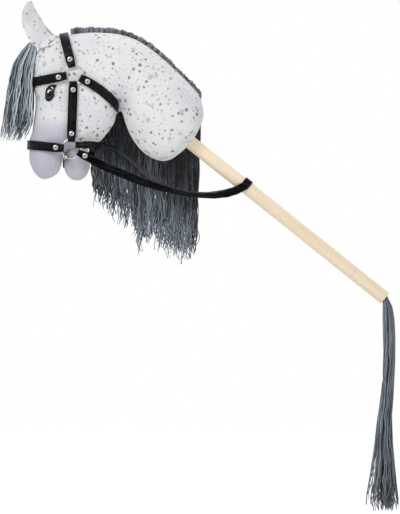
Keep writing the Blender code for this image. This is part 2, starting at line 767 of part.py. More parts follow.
def build_cheekpiece(surface, planes, leather):
    """One strap between the two rings of a side, folded round each, for both sides."""
    bed, length = cheekpiece_bed(surface, *planes)
    back = [(length - d, point, outward, -across) for d, point, outward, across in bed[::-1]]
    profile = loop_profile(STRAP_TAB / 2.0)
    top = loop_stations(bed, profile, STRAP_WIDTH, STRAP_TAB)
    low = loop_stations(back, profile, STRAP_WIDTH, STRAP_TAB)
    middle_part = []
    for share in (0.0, 0.33, 0.67, 1.0):
        distance = FLAP_END + 9.0 + share * (length - 2.0 * (FLAP_END + 9.0))
        point, outward, across = bed_at(bed, distance)
        middle_part.append((point + outward * SINGLE_HEIGHT, across, STRAP_WIDTH))
    low = [(point, -across, width) for point, across, width in low[::-1]]
    half = top + middle_part + low
    frames = {"top": bed, "bottom": back}
    for side, sign in SIDES.items():
        stations = half if sign < 0.0 else [mirrored_station(s) for s in half]
        strap = add_object("cheekpiece_" + side, ribbon_from(stations), leather)
        for end in frames.values():
            punch(strap, rivet_frames(end, (sign,)))
    return frames


def throat_bed(surface, aim, plane):
    """Half bed of the throat strap: down the cheek, then round the back edge of the jaw."""
    forward = Vector((aim[0], 0.0, aim[1]))
    across = Vector((-aim[1], 0.0, aim[0]))
    origin = Vector((CHEEK_RING[0], 0.0, CHEEK_RING[1]))
    jaw_rings = head_rings(0.0, HEAD_SECTIONS[JAW_FIRST_SECTION:])
    jaw = Surface(loft(jaw_rings, Vector(JAW_MIDDLE), nose_tip(0.0))).tree
    flat = [origin + forward * (9.0 + 3.0 * k) + Vector((0.0, -plane, 0.0)) for k in range(9)]
    guide = [jaw.find_nearest(Vector(spot))[0] for spot in smooth_row(THROAT_ROUTE, four_steps)]
    guide[-1].y = 0.0
    points = relaxed(flat + guide)
    frames = []
    last = len(points) - 1
    length = 9.0
    for i, point in enumerate(points):
        after = mirrored(points[i - 1]) if i == last else points[i + 1]
        run = (after - points[max(i - 1, 0)]).normalized()
        share = smooth_step(FLAT_ZONE, BLEND_ZONE, length)
        outward = Vector((0.0, -1.0, 0.0)).lerp(jaw.find_nearest(point)[1], share)
        if i == last:
            outward = Vector((1.0, 0.0, 0.0))
        outward = (outward - run * outward.dot(run)).normalized()
        side = outward.cross(run)
        seat = lifted(surface, point, outward, side, STRAP_WIDTH)
        frames.append((length, point.lerp(seat, share), outward, side))
        length += (after - point).length
    return frames


def four_steps(_, __):
    return 4


def build_bit(metal, y):
    """Mouthpiece: a bar through the mouth with an eye round each bit ring."""
    x, z = bit_centre()
    tangent = Vector((-math.sin(BIT_ANGLE), 0.0, math.cos(BIT_ANGLE)))
    radial = Vector((math.cos(BIT_ANGLE), 0.0, math.sin(BIT_ANGLE)))
    reach = y - BIT_EYE_RADIUS
    bar = turned([(-reach, BIT_RADIUS), (reach, BIT_RADIUS)], (x, 0.0, z), (0, 1, 0), 12)
    part = add_object("bit_mouthpiece", bar, metal)
    for sign in SIDES.values():
        centre = Vector((x, sign * y, z))
        rings = []
        steps = 16
        bm = bmesh.new()
        for k in range(steps):
            a = 2.0 * math.pi * k / steps
            out = radial * math.cos(a) + Vector((0.0, math.sin(a), 0.0))
            rings.append([bm.verts.new(centre + out * (BIT_EYE_RADIUS + BIT_EYE_WIRE * math.cos(b))
                                       + tangent * BIT_EYE_WIRE * math.sin(b))
                          for b in (2.0 * math.pi * j / 6 for j in range(6))])
        for k in range(steps):
            for j in range(6):
                i = (j + 1) % 6
                n = (k + 1) % steps
                bm.faces.new((rings[k][j], rings[k][i], rings[n][i], rings[n][j]))
        cut(part, bm, operation="UNION")


def bit_centre():
    return (BIT_RING[0] + RING_RADIUS * math.cos(BIT_ANGLE),
            BIT_RING[1] + RING_RADIUS * math.sin(BIT_ANGLE))


def rein_stations(route, sign):
    """Free part of a rein between its rivet and the stick, on the side given by sign."""
    fine = smooth_row(route, lambda a, b: 1)
    stations = []
    last = len(fine) - 1
    for i, (x, y, z, turn) in enumerate(fine):
        before = Vector(fine[max(i - 1, 0)][:3])
        after = Vector(fine[min(i + 1, last)][:3])
        run = (after - before).normalized()
        lean = math.radians(turn)
        outward = Vector((0.0, sign * math.cos(lean), -math.sin(lean)))
        start = REIN_FAR_WIDTH if sign > 0.0 else REIN_WIDTH
        width = start + (REIN_WIDTH - start) * smooth_step(*REIN_WIDENS, x)
        stations.append((Vector((x, y, z)), outward.cross(run).normalized(), width))
    return stations


def rein_bed(side, plane):
    """Straight bed of a rein's folded end, drawn on the left side of the head."""
    aim = (math.cos(REIN_ANGLES[side]), math.sin(REIN_ANGLES[side]))
    forward = Vector((aim[0], 0.0, aim[1]))
    across = Vector((-aim[1], 0.0, aim[0]))
    origin = Vector((BIT_RING[0], -plane, BIT_RING[1])) + across * REIN_OFFSETS[side]
    return [(d, origin + forward * d, Vector((0.0, -1.0, 0.0)), across) for d in (0.0, 60.0)]


def build_reins(leather, plane):
    """One long strap from the left bit ring over the stick to the right bit ring."""
    beds = {side: rein_bed(side, plane) for side in SIDES}
    ends = {}
    for side, bed in beds.items():
        full, tab = REIN_WIDTHS[side]
        profile = loop_profile(tab / 2.0, REIN_OFFSETS[side])
        ends[side] = loop_stations(bed, profile, full, tab)
    near = rein_stations(REIN_NEAR_ROUTE, -1.0)
    far = rein_stations(REIN_FAR_ROUTE, 1.0)
    wrap = []
    radius = STICK_RADIUS + REIN_LIFT + STRAP_THICKNESS / 2.0
    for k in range(9):
        angle = math.pi * k / 8
        outward = Vector((0.0, -math.cos(angle), 0.0)) + STICK_UP * math.sin(angle)
        wrap.append((on_stick(REIN_CROSSING) + outward * radius, -STICK_AXIS, REIN_WIDTH))
    far = [(point, -side, width) for point, side, width in far[::-1]]
    far_end = [mirrored_station(s) for s in ends["right"][::-1]]
    stations = ends["left"] + near + wrap + far + far_end
    reins = add_object("reins", ribbon_from(stations), leather,
                       (BIT_RING[0], 0.0, BIT_RING[1]))
    for side, sign in SIDES.items():
        punch(reins, rivet_frames(beds[side], (sign,)))
    return beds


# Face

def build_ears(plush, lining, cutter):
    """Two leaf shaped ears, each a cupped outer leaf with a lining in its hollow."""
    for side, sign in SIDES.items():
        frame = ear_frame(side, sign)
        ear = add_object("ear_" + side, ear_leaf(frame, 0.0, EAR_THICKNESS, 1.0), plush)
        cut(ear, cutter())
        inner = EAR_THICKNESS + GAP + 0.1
        leaf = ear_leaf(frame, inner, EAR_LINING, LINING_SHARE)
        cut(add_object("ear_lining_" + side, leaf, lining), cutter())


def ear_frame(side, sign):
    """Base point, up, front and facing directions of an ear, its cup forwards and inwards."""
    turn = Matrix.Rotation(-sign * EAR_TURN, 3, "Z")
    lean = Matrix.Rotation(-EAR_LEANS[side], 3, "Y")
    splay = Matrix.Rotation(-sign * EAR_SPLAY, 3, "X")
    basis = lean @ splay @ turn
    up = basis @ Vector((0.0, 0.0, 1.0))
    front = basis @ Vector((-1.0, 0.0, 0.0))
    face = basis @ Vector((0.0, -sign, 0.0))
    return Vector(EAR_BASES[side]), up, front, face


def ear_leaf(frame, start, thickness, share):
    """A closed leaf: cupped across its width, cut off at the base and narrow at the tip."""
    base, up, front, face = frame
    columns = 8
    rings = []
    for height, rear, fore in EAR_ROWS:
        middle = (rear + fore) / 2.0
        half = (fore - rear) / 2.0 * share
        along = LINING_FOOT + (height - LINING_FOOT) * LINING_REACH if share < 1.0 else height
        end_share = min(1.0, 0.35 + (EAR_ROWS[-1][0] - height) / 22.0)
        outer = []
        inner = []
        for j in range(columns + 1):
            u = 2.0 * j / columns - 1.0
            bend = EAR_CUP * (1.0 - math.sqrt(1.0 - (0.98 * u * share) ** 2))
            edge = max(math.sqrt(max(0.0, 1.0 - u ** 4)), 0.18)
            spot = base + up * along + front * (middle + half * u)
            rise = start + bend * half / EAR_WIDEST + thickness / 2.0
            half_wall = thickness / 2.0 * edge * end_share
            outer.append(spot + face * (rise - half_wall))
            inner.append(spot + face * (rise + half_wall))
        rings.append(outer + inner[::-1])
    return loft(rings)


def build_eyes(surface, thread):
    """Flat patches that follow the cheek."""
    count = len(EYE_OUTLINE)
    for side, sign in SIDES.items():
        rims = []
        bm = bmesh.new()
        for height in (EYE_REST, EYE_REST + EYE_THICKNESS):
            rows = []
            for share in (1.0, EYE_INNER_SHARE):
                rows.append([bm.verts.new(eye_point(surface, sign, corner, share, height))
                             for corner in EYE_OUTLINE])
            tip = bm.verts.new(eye_point(surface, sign, EYE_CENTRE, 0.0, height))
            rims.append(rows[0])
            for k in range(count):
                j = (k + 1) % count
                bm.faces.new((rows[0][k], rows[0][j], rows[1][j], rows[1][k]))
                bm.faces.new((rows[1][k], rows[1][j], tip))
        under, over = rims
        for k in range(count):
            j = (k + 1) % count
            bm.faces.new((under[k], under[j], over[j], over[k]))
        add_object("eye_" + side, bm, thread)


def eye_point(surface, sign, corner, share, height):
    """A share of the way from the eye's centre to a corner, at a height over the cheek."""
    x, z = (c + (p - c) * share for c, p in zip(EYE_CENTRE, corner))
    return Vector((x, sign * (surface.side(x, z, sign) + height), z))


# Yarn

def build_mane_band(yarn):
    """The sewn root of the mane, a padded band along the crest."""
    line = smooth_row(CREST_BAND, lambda a, b: 2)
    rings = []
    last = len(line) - 1
    for i, (x, z) in enumerate(line):
        a = line[max(i - 1, 0)]
        b = line[min(i + 1, last)]
        run = Vector((b[0] - a[0], 0.0, b[1] - a[1])).normalized()
        out = Vector((-run.z, 0.0, run.x))
        taper = 0.55 + 0.45 * math.sin(math.pi * min(1.0, (i + 0.6) / (last + 1.2))) ** 0.5
        centre = Vector((x, BAND_SIDE, z)) + out * (BAND_REST + BAND_HALF_HEIGHT * taper)
        rings.append([centre + out * (BAND_HALF_HEIGHT * taper * math.sin(t))
                      + Vector((0.0, BAND_HALF_WIDTH * taper * math.cos(t), 0.0))
                      for t in (2.0 * math.pi * k / 12 for k in range(12))])
    add_object("mane_band", loft(rings, middle(rings[0]), middle(rings[-1])), yarn)


def polyline_at(line, x):
    """Height of a left to right polyline at x."""
    for a, b in zip(line, line[1:]):
        if x <= b[0]:
            t = (x - a[0]) / (b[0] - a[0])
            return a[1] + (b[1] - a[1]) * t
    return line[-1][1]


def build_mane(surface, yarn):
    """The mane as one hanging curtain on the right side of the neck."""
    crest = smooth_row(CREST_BAND, lambda a, b: 3)
    rings = []
    for i in range(MANE_COLUMNS):
        share = i / (MANE_COLUMNS - 1)
        top_x = MANE_LEFT[1] + (MANE_RIGHT[1] - MANE_LEFT[1]) * share
        low_x = MANE_LEFT[0] + (MANE_RIGHT[0] - MANE_LEFT[0]) * share
        top = polyline_at(crest, top_x)
        slope = (polyline_at(crest, top_x + 6.0) - polyline_at(crest, top_x - 6.0)) / 12.0
        hem = polyline_at(MANE_HEM, low_x)
        inner = []
        outer = []
        reach = MANE_TOP_SIDE
        for k in range(MANE_ROWS):
            v = (k / (MANE_ROWS - 1)) ** 1.7
            x = top_x + (low_x - top_x) * smooth_step(0.2, 0.9, v)
            z = top + MANE_TOP_RISE + (hem - top - MANE_TOP_RISE) * v
            for nudge in (-9.0, 0.0, 9.0):
                here = surface.side(x + nudge, z + slope * nudge - 5.0, 1.0)
                reach = max(reach, (here or 0.0) + MANE_CLEARANCE)
            for left_of, below, side in MANE_STAND_OFF:
                if x < left_of and z < below:
                    reach = max(reach, side)
            wall = MANE_THICKNESS * (0.8 + 0.35 * math.sin(math.pi * v))
            inner.append(Vector((x, reach, z)))
            outer.append(Vector((x, reach + wall, z - 2.0 * (1.0 - v))))
        rings.append(inner + outer[::-1])
    add_object("mane", loft(rings), yarn, MANE_HINGE)


def build_forelock(yarn):
    """The forelock, one bunch of yarn hanging from between the ears."""
    rings = []
    for z, front, rear, half in smooth_row(FORELOCK_SECTIONS, lambda a, b: 2):
        centre = Vector(((front + rear) / 2.0, 0.0, z))
        depth = (rear - front) / 2.0
        rings.append([centre + Vector((depth * math.cos(t), half * math.sin(t), 0.0))
                      for t in (2.0 * math.pi * k / 14 for k in range(14))])
    tip = middle(rings[0]) + Vector((0.0, 0.0, 1.0))
    low = middle(rings[-1]) + Vector((0.0, 0.0, -8.0))
    add_object("forelock", loft(rings, tip, low), yarn, FORELOCK_HINGE)


def tail_hinge():
    return on_stick(STICK_END + TAIL_HINGE_OUT)


def build_tail(yarn):
    """The tail: a bound root glued in the stick's end and a free hanging tassel."""
    root = [(STICK_END - TAIL_HOLE_DEPTH + GAP, TAIL_HOLE_RADIUS - GAP),
            (STICK_END + 0.8, TAIL_HOLE_RADIUS - GAP)]
    add_object("tail_root", turned(root, (0, 0, 0), STICK_AXIS, 16), yarn)
    hinge = tail_hinge()
    rings = []
    for share in (0.0, 0.4, 0.75, 1.0):
        angle = math.pi / 2.0 * share
        z = hinge.z + TAIL_NECK * math.cos(angle)
        rings.append((z, hinge.x - TAIL_NECK * math.sin(angle),
                      hinge.x + TAIL_NECK * math.sin(angle)))
    rows = rings[1:] + list(TAIL_SECTIONS)
    solid = []
    for z, left, right in smooth_row(rows, lambda a, b: 1):
        half = (right - left) / 2.0
        solid.append([Vector(((left + right) / 2.0 + half * math.cos(t), half * math.sin(t), z))
                      for t in (2.0 * math.pi * k / 12 for k in range(12))])
    top = Vector((hinge.x, 0.0, hinge.z + TAIL_NECK))
    low = middle(solid[-1]) + Vector((0.0, 0.0, -5.0))
    add_object("tail", loft(solid, top, low), yarn, hinge)


def main():
    for old in list(bpy.data.objects):
        bpy.data.objects.remove(old)
    plush = make_material("plush", (0.86, 0.86, 0.88), 0.9)
    lining = make_material("lining", (0.62, 0.60, 0.68), 0.9)
    fibre = make_material("fibre_fill", (0.95, 0.95, 0.95), 0.95)
    wood = make_material("beech", (0.87, 0.75, 0.56), 0.5)
    leather = make_material("black_leather", (0.02, 0.02, 0.02), 0.35)
    nickel = make_material("nickel", (0.75, 0.74, 0.70), 0.25, 1.0)
    yarn = make_material("yarn", (0.16, 0.19, 0.24), 0.9)
    thread = make_material("eye_thread", (0.05, 0.03, 0.03), 0.4)

    build_stick(wood)
    build_head(plush, fibre)
    surface = Surface(head_solid(0.0))

    def cutter():
        return head_solid(-GAP - 0.1)

    build_chin(plush)
    build_ears(plush, lining, cutter)
    build_eyes(surface, thread)
    build_mane_band(yarn)
    build_mane(surface, yarn)
    build_forelock(yarn)
    build_tail(yarn)

    aims = {
        "crown": aim_to(CHEEK_RING, CROWN_END),
        "brow": aim_to(CHEEK_RING, BROW_END),
        "throat": aim_to(CHEEK_RING, THROAT_RIVET_AIM),
        "cheek": aim_to(CHEEK_RING, BIT_RING),
    }
    cheek_plane = ring_plane(surface, CHEEK_RING, aims.values())
    nose_aim = aim_to(BIT_RING, NOSE_END)
    rein_aims = [(math.cos(angle), math.sin(angle)) for angle in REIN_ANGLES.values()]
    bit_aims = (nose_aim, *rein_aims, aim_to(BIT_RING, CHEEK_RING))
    bit_plane = ring_plane(surface, BIT_RING, bit_aims)

    rivets = {}
    for name, rivet, aim in (("crown_strap", "rivet_crown", aims["crown"]),
                             ("browband", "rivet_brow", aims["brow"])):
        bed = wrap_bed(surface, CHEEK_RING, aim, cheek_plane, STRAP_WIDTH)
        wrapped_strap(name, leather, bed)
        rivets[rivet] = bed
    bed = throat_bed(surface, aims["throat"], cheek_plane)
    wrapped_strap("throat_strap", leather, bed, pinch=THROAT_PINCH)
    rivets["rivet_throat"] = bed
    bed = wrap_bed(surface, BIT_RING, nose_aim, bit_plane, STRAP_WIDTH, 36.0)
    wrapped_strap("noseband", leather, bed)
    rivets["rivet_nose"] = bed
    wrapped_strap("chin_strap", leather, chin_bed(surface, bit_plane), CHIN_STRAP_WIDTH,
                  CHIN_STRAP_TAB, CHIN_STRAP_LIFT, flap=CHIN_FLAP_END, rivets=False)
    cheek_beds = build_cheekpiece(surface, (cheek_plane, bit_plane), leather)
    rivets["rivet_cheek_top"] = cheek_beds["top"]
    rivets["rivet_cheek_bottom"] = cheek_beds["bottom"]
    rein_beds = build_reins(leather, bit_plane)
    for side, sign in SIDES.items():
        build_ring("cheek_ring_" + side, CHEEK_RING, sign * (cheek_plane + WIRE_HEIGHT), nickel)
        build_ring("bit_ring_" + side, BIT_RING, sign * (bit_plane + WIRE_HEIGHT), nickel)
        for name, bed in rivets.items():
            build_rivet(name + "_" + side, rivet_frames(bed, (sign,))[0], nickel)
        build_rivet("rivet_rein_" + side, rivet_frames(rein_beds[side], (sign,))[0], nickel,
                    (BIT_RING[0], 0.0, BIT_RING[1]))
    build_bit(nickel, bit_plane + WIRE_HEIGHT)


main()
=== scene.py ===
# %% [markdown]
# # A stuffed hobby horse
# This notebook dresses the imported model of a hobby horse: a plush head on a beech stick,
# with a leather bridle and a mane, forelock and tail of yarn. The model is loaded as a
# fixed frame in metres, with +Z up and the horse looking along -X, so each soft piece is
# made where the frame's solid lies and nothing has to be fitted by eye.

# %% Load the frame
import json
import math
import random

import bmesh
import bpy
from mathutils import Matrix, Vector, noise
from mathutils.bvhtree import BVHTree

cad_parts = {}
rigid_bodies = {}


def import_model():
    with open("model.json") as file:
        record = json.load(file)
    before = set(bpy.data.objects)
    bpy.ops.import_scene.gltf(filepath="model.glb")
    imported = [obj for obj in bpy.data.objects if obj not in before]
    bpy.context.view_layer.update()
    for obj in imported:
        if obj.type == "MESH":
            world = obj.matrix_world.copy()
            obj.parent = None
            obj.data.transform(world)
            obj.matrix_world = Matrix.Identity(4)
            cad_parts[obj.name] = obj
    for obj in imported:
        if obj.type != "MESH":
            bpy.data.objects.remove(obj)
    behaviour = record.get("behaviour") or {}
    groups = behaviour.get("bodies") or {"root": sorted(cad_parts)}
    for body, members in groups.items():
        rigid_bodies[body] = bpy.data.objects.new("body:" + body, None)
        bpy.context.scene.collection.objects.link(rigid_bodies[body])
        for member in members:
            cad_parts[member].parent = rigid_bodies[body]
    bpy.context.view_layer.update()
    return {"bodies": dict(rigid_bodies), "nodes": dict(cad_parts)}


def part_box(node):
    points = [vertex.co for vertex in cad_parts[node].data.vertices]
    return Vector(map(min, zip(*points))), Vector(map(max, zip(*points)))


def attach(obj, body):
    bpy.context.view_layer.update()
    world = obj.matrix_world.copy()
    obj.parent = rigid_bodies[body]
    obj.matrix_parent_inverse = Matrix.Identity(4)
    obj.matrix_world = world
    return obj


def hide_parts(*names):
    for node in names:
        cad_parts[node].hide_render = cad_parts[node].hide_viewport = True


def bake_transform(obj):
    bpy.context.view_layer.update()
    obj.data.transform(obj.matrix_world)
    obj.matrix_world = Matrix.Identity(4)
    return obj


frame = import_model()
nodes = frame["nodes"]
scene = bpy.context.scene
MM = 0.001

# %% [markdown]
# ## Camera, light and floor
# The photograph looks level at the horse's left side, with hardly any perspective. An
# orthographic camera would come close, but a very long lens from far away gives the
# same nearly parallel view and keeps the trace of depth that a real lens has. The lens
# follows from the picture's height in metres.

# %% Camera
VIEW_CENTRE = Vector((-162.8, 0.0, -67.3)) * MM
VIEW_HEIGHT = 950.9 * MM
VIEW_DISTANCE = 24.0


def linked(name, data):
    """A new object in the scene."""
    made = bpy.data.objects.new(name, data)
    scene.collection.objects.link(made)
    return made


camera_data = bpy.data.cameras.new("camera")
camera_data.sensor_width = 36.0
camera_data.lens = camera_data.sensor_width * VIEW_DISTANCE / VIEW_HEIGHT
camera_data.clip_end = 200.0
camera = linked("camera", camera_data)
camera.location = VIEW_CENTRE - Vector((0.0, VIEW_DISTANCE, 0.0))
camera.rotation_euler = (math.radians(90.0), 0.0, 0.0)
scene.camera = camera
scene.view_settings.view_transform = "Standard"
print("lens", round(camera_data.lens, 1))

# %% [markdown]
# ## Shader sums in Python
# A finish is a small network of nodes. To keep the networks readable, one class wraps a
# socket and overloads the arithmetic operators, and one method makes every other node.

# %% Shader values
def operator(name, swapped=False):
    def applied(self, other):
        return self.math(name, *((other, self) if swapped else (self, other)))
    return applied


class Value:
    """An output socket that Python's sums can be written with."""

    def __init__(self, maker, socket):
        self.maker = maker
        self.socket = socket

    def math(self, operation, *values):
        return self.maker.node("ShaderNodeMath", {"operation": operation}, *values)

    __add__ = __radd__ = operator("ADD")
    __mul__ = __rmul__ = operator("MULTIPLY")
    __sub__ = operator("SUBTRACT")
    __rsub__ = operator("SUBTRACT", swapped=True)
    __truediv__ = operator("DIVIDE")
    __pow__ = operator("POWER")

    def rises(self, low, high):
        """0 at low and 1 at high, smooth between; low may be the larger."""
        settings = {"interpolation_type": "SMOOTHSTEP"}
        return self.maker.node("ShaderNodeMapRange", settings, self, low, high, 0.0, 1.0)


# %% Finishes
class Finish:
    """A node network: a material's, or the world's."""

    def __init__(self, owner):
        owner.use_nodes = True
        self.owner = owner
        self.tree = owner.node_tree

    def node(self, kind, settings=None, *values, output=0, **named):
        made = self.tree.nodes.new(kind)
        for name, setting in (settings or {}).items():
            if name == "stops":
                while len(made.color_ramp.elements) < len(setting):
                    made.color_ramp.elements.new(0.5)
                for element, (place, color) in zip(made.color_ramp.elements, setting):
                    element.position = place
                    element.color = (*color, 1.0)
            else:
                setattr(made, name, setting)
        for socket, value in [*enumerate(values), *named.items()]:
            if isinstance(socket, str):
                socket = socket.replace("_", " ")
            self.set(made.inputs[socket], value)
        return Value(self, made.outputs[output])

    def set(self, socket, value):
        if isinstance(value, Value):
            self.tree.links.new(value.socket, socket)
        elif hasattr(value, "__len__") and len(value) == 3 and socket.type == "RGBA":
            socket.default_value = (*value, 1.0)
        else:
            socket.default_value = value

    def place(self):
        return self.node("ShaderNodeTexCoord", output="Object")

    def axes(self, vector):
        made = self.node("ShaderNodeSeparateXYZ", None, vector)
        return [Value(self, socket) for socket in made.socket.node.outputs]

    def aimed(self, vector, location=(0, 0, 0), rotation=(0, 0, 0), scale=(1, 1, 1)):
        return self.node("ShaderNodeMapping", {"vector_type": "TEXTURE"}, Vector=vector,
                         Location=location, Rotation=rotation, Scale=scale)

    def noise(self, vector, scale, detail=2.0, output=0):
        return self.node("ShaderNodeTexNoise", None, Vector=vector, Scale=scale,
                         Detail=detail, output=output)

    def mix(self, factor, first, second):
        made = self.node("ShaderNodeMix", {"data_type": "RGBA"}, output=2)
        inputs = made.socket.node.inputs
        for index, value in ((0, factor), (6, first), (7, second)):
            self.set(inputs[index], value)
        return made

    def moved(self, vector, by, amount):
        scaled = self.node("ShaderNodeVectorMath", {"operation": "SCALE"}, by, Scale=amount)
        return self.node("ShaderNodeVectorMath", {"operation": "ADD"}, vector, scaled)

    def bump(self, height, distance, strength=1.0):
        return self.node("ShaderNodeBump", None, Height=height, Distance=distance,
                         Strength=strength)

    def surface(self, **sockets):
        shader = self.tree.nodes["Principled BSDF"]
        for name, value in sockets.items():
            self.set(shader.inputs[name.replace("_", " ")], value)
        return self.owner


def material(name):
    return Finish(bpy.data.materials.new(name))


def dress(node, finish):
    for slot in nodes[node].material_slots:
        slot.material = finish


# %% [markdown]
# The studio is a white room. The world is white for the camera and in reflections, and
# gives a dimmer even light to the surfaces, so that three soft lamps can model the
# form. A dark panel behind the camera is seen only in reflections: polished metal needs
# something dark to mirror.

# %% World and lamps
WORLD_LIGHT = 0.52
LAMPS = [
    # name, place, width, watts
    ("key_lamp", (-1.6, -2.2, 1.9), 1.1, 40.0),
    ("fill_lamp", (1.9, -2.4, 0.7), 1.8, 20.0),
    ("top_lamp", (0.1, 1.3, 2.4), 1.6, 28.0),
]
LAMP_TARGET = Vector((-0.25, 0.0, 0.05))

world = bpy.data.worlds.new("studio")
scene.world = world
studio = Finish(world)
ray = studio.node("ShaderNodeLightPath").socket.node.outputs
seen = [Value(studio, ray[name]) for name in
        ("Is Camera Ray", "Is Glossy Ray", "Is Transmission Ray")]
white = seen[0].math("MAXIMUM", seen[0].math("MAXIMUM", seen[0], seen[1]), seen[2])
backdrop = studio.tree.nodes["Background"]
backdrop.inputs["Color"].default_value = (1.0, 1.0, 1.0, 1.0)
studio.set(backdrop.inputs["Strength"], white * (1.0 - WORLD_LIGHT) + WORLD_LIGHT)

for name, place, width, watts in LAMPS:
    light = bpy.data.lights.new(name, "AREA")
    light.shape = "DISK"
    light.size = width
    light.energy = watts
    lamp = linked(name, light)
    lamp.location = place
    lamp.rotation_euler = (LAMP_TARGET - lamp.location).to_track_quat("-Z", "Y").to_euler()
print("lamps", len(LAMPS))

# %% [markdown]
# The floor lies just under the tail's tip. A shaded white floor would turn grey towards
# the back, and a glowing one would lose the shadow. So its material is mostly a plain
# white for the camera, with some real shading mixed in, and the horse's soft shadow
# stays on it.

# %% Floor and reflection panel
FLOOR_Z = -0.541
FLOOR_SIZE = 24.0
FLOOR_GLOW = 1.2
FLOOR_PLAIN_SHARE = 0.72
PANEL_PLACE = (-0.2, -5.5, 0.1)
PANEL_SIZE = 9.0


def mesh_of(name, bm):
    """A new mesh from a bmesh, which is freed."""
    mesh = bpy.data.meshes.new(name)
    bm.to_mesh(mesh)
    bm.free()
    return mesh


def plate(name, size, place, rotation=(0.0, 0.0, 0.0)):
    bm = bmesh.new()
    bmesh.ops.create_grid(bm, x_segments=1, y_segments=1, size=size / 2)
    thing = linked(name, mesh_of(name, bm))
    thing.location = place
    thing.rotation_euler = rotation
    return thing


floor = plate("floor", FLOOR_SIZE, (0.0, 0.0, FLOOR_Z))
floor_finish = material("floor_paper")
light_path = floor_finish.node("ShaderNodeLightPath")
glow = floor_finish.node("ShaderNodeEmission", None, Color=(1.0, 1.0, 1.0),
                         Strength=FLOOR_GLOW)
floor_finish.surface(Base_Color=(0.93, 0.93, 0.93), Roughness=0.9)
paper = Value(floor_finish, floor_finish.tree.nodes["Principled BSDF"].outputs[0])
shown = floor_finish.node("ShaderNodeMixShader", None, light_path * FLOOR_PLAIN_SHARE,
                          paper, glow)
floor_finish.set(floor_finish.tree.nodes["Material Output"].inputs["Surface"], shown)
floor.data.materials.append(floor_finish.owner)

panel = plate("dark_panel", PANEL_SIZE, PANEL_PLACE, (math.radians(90.0), 0.0, 0.0))
panel_finish = material("panel_black")
panel.data.materials.append(panel_finish.surface(Base_Color=(0.01, 0.01, 0.012),
                                                 Roughness=1.0))
panel.visible_camera = False
panel.visible_diffuse = False
panel.visible_shadow = False
print("floor at", FLOOR_Z)

# %% [markdown]
# ## Plush
# The cover is a short-pile plush in off-white, with small grey flecks and a lilac-grey
# muzzle and chin. The upper front of each ear, to its tip, gets a painted lilac-grey
# shade, as where the leaf turns away from the light. The flecks are four cell patterns
# in the piece's own coordinates: each cell's random colour decides whether it has a
# fleck and how large. A little noise moves the patterns, so that no fleck is a true
# circle. Hairs could be grown for the pile, but one so short shows no single hair from
# here, so it is a fine bump and a sheen.

# %% Plush finish
PLUSH_WHITE = (0.745, 0.745, 0.733)
PLUSH_SHADE = (0.64, 0.65, 0.69)
PLUSH_LILAC = (0.45, 0.45, 0.53)
FLECK_PALE = (0.33, 0.345, 0.44)
FLECK_DARK = (0.12, 0.125, 0.16)
FLECK_SOFT = 0.9 * MM
FLECK_WANDER = 5.2 * MM
LILAC_AND_EAR_SHADE_PLACES = [
    # heights and places along the head where the lilac begins and is full, strength
    ((0.202, 0.156), (-0.382, -0.412), 1.0),
    ((0.142, 0.128), (-0.335, -0.350), 1.0),
    # the ears' upper front: painted shade, where the leaf turns away from the light
    ((0.352, 0.372), (-0.466, -0.480), 0.5),
]
FLECKS = [
    # cells in a metre, radius, share of the cells, offset, strength, colour
    (128.0, 0.0024, 0.80, (0.11, 0.07, 0.19), 0.55, FLECK_PALE),
    (62.0, 0.0050, 0.78, (0.0, 0.0, 0.0), 0.58, FLECK_PALE),
    (100.0, 0.0026, 0.84, (0.43, 0.09, 0.27), 0.78, FLECK_DARK),
    (78.0, 0.0034, 0.86, (0.31, 0.17, 0.05), 0.92, FLECK_DARK),
]


def flecks(finish, at, cells, radius, share, dense):
    """Soft dots of random size: 1 inside a fleck. dense scales them from place to place."""
    distance = finish.node("ShaderNodeTexVoronoi", {"feature": "F1"}, Vector=at, Scale=cells)
    color = Value(finish, distance.socket.node.outputs["Color"])
    chance, size, _ = finish.axes(color)
    reach = (size * 0.75 + 0.25) * radius * cells * dense
    chosen = chance.rises(share, share - 0.02)
    return (reach - distance).rises(-FLECK_SOFT * cells, FLECK_SOFT * cells) * chosen


def plush_finish(name):
    finish = material(name)
    at = finish.place()
    shaken = finish.moved(at, finish.noise(at, 95.0, 2.0, output=1), FLECK_WANDER)
    x, _, z = finish.axes(at)
    cloud = finish.noise(at, 11.0, 3.0)
    base = finish.mix(cloud.rises(0.42, 0.78), PLUSH_WHITE, PLUSH_SHADE)
    # the last row paints shade on the ears' upper front; the others are the dye of muzzle and
    # chin
    parts = [z.rises(*heights) * x.rises(*places) * strength
             for heights, places, strength in LILAC_AND_EAR_SHADE_PLACES]
    lilac_and_ear_shade = x.math("MINIMUM", parts[0] + parts[1] + parts[2], 1.0)
    base = finish.mix(lilac_and_ear_shade * (0.82 + cloud * 0.3), base, PLUSH_LILAC)
    crowd = finish.noise(at, 16.0, 1.0).rises(0.30, 0.62) * 0.30 + 0.78
    dense = (1.0 - lilac_and_ear_shade * 0.9) * crowd
    for cells, radius, share, offset, strength, color in FLECKS:
        dots = flecks(finish, finish.aimed(shaken, location=offset), cells, radius, share,
                      dense)
        base = finish.mix(dots * strength, base, color)
    pile = finish.noise(at, 620.0, 3.0)
    nap = finish.noise(finish.aimed(at, scale=(1.0, 1.0, 3.5)), 190.0, 3.0)
    base = finish.mix((pile - 0.5) * 0.22 + (nap - 0.5) * 0.30 + 0.10, base, PLUSH_SHADE)
    height = pile * 0.6 + nap * 0.5
    return finish.surface(Base_Color=base, Roughness=0.94, Sheen_Weight=0.22,
                          Sheen_Roughness=0.45, Specular_IOR_Level=0.15,
                          Normal=finish.bump(height, 0.0011, 0.75))


plush = plush_finish("plush_flecked")
print("plush ready")
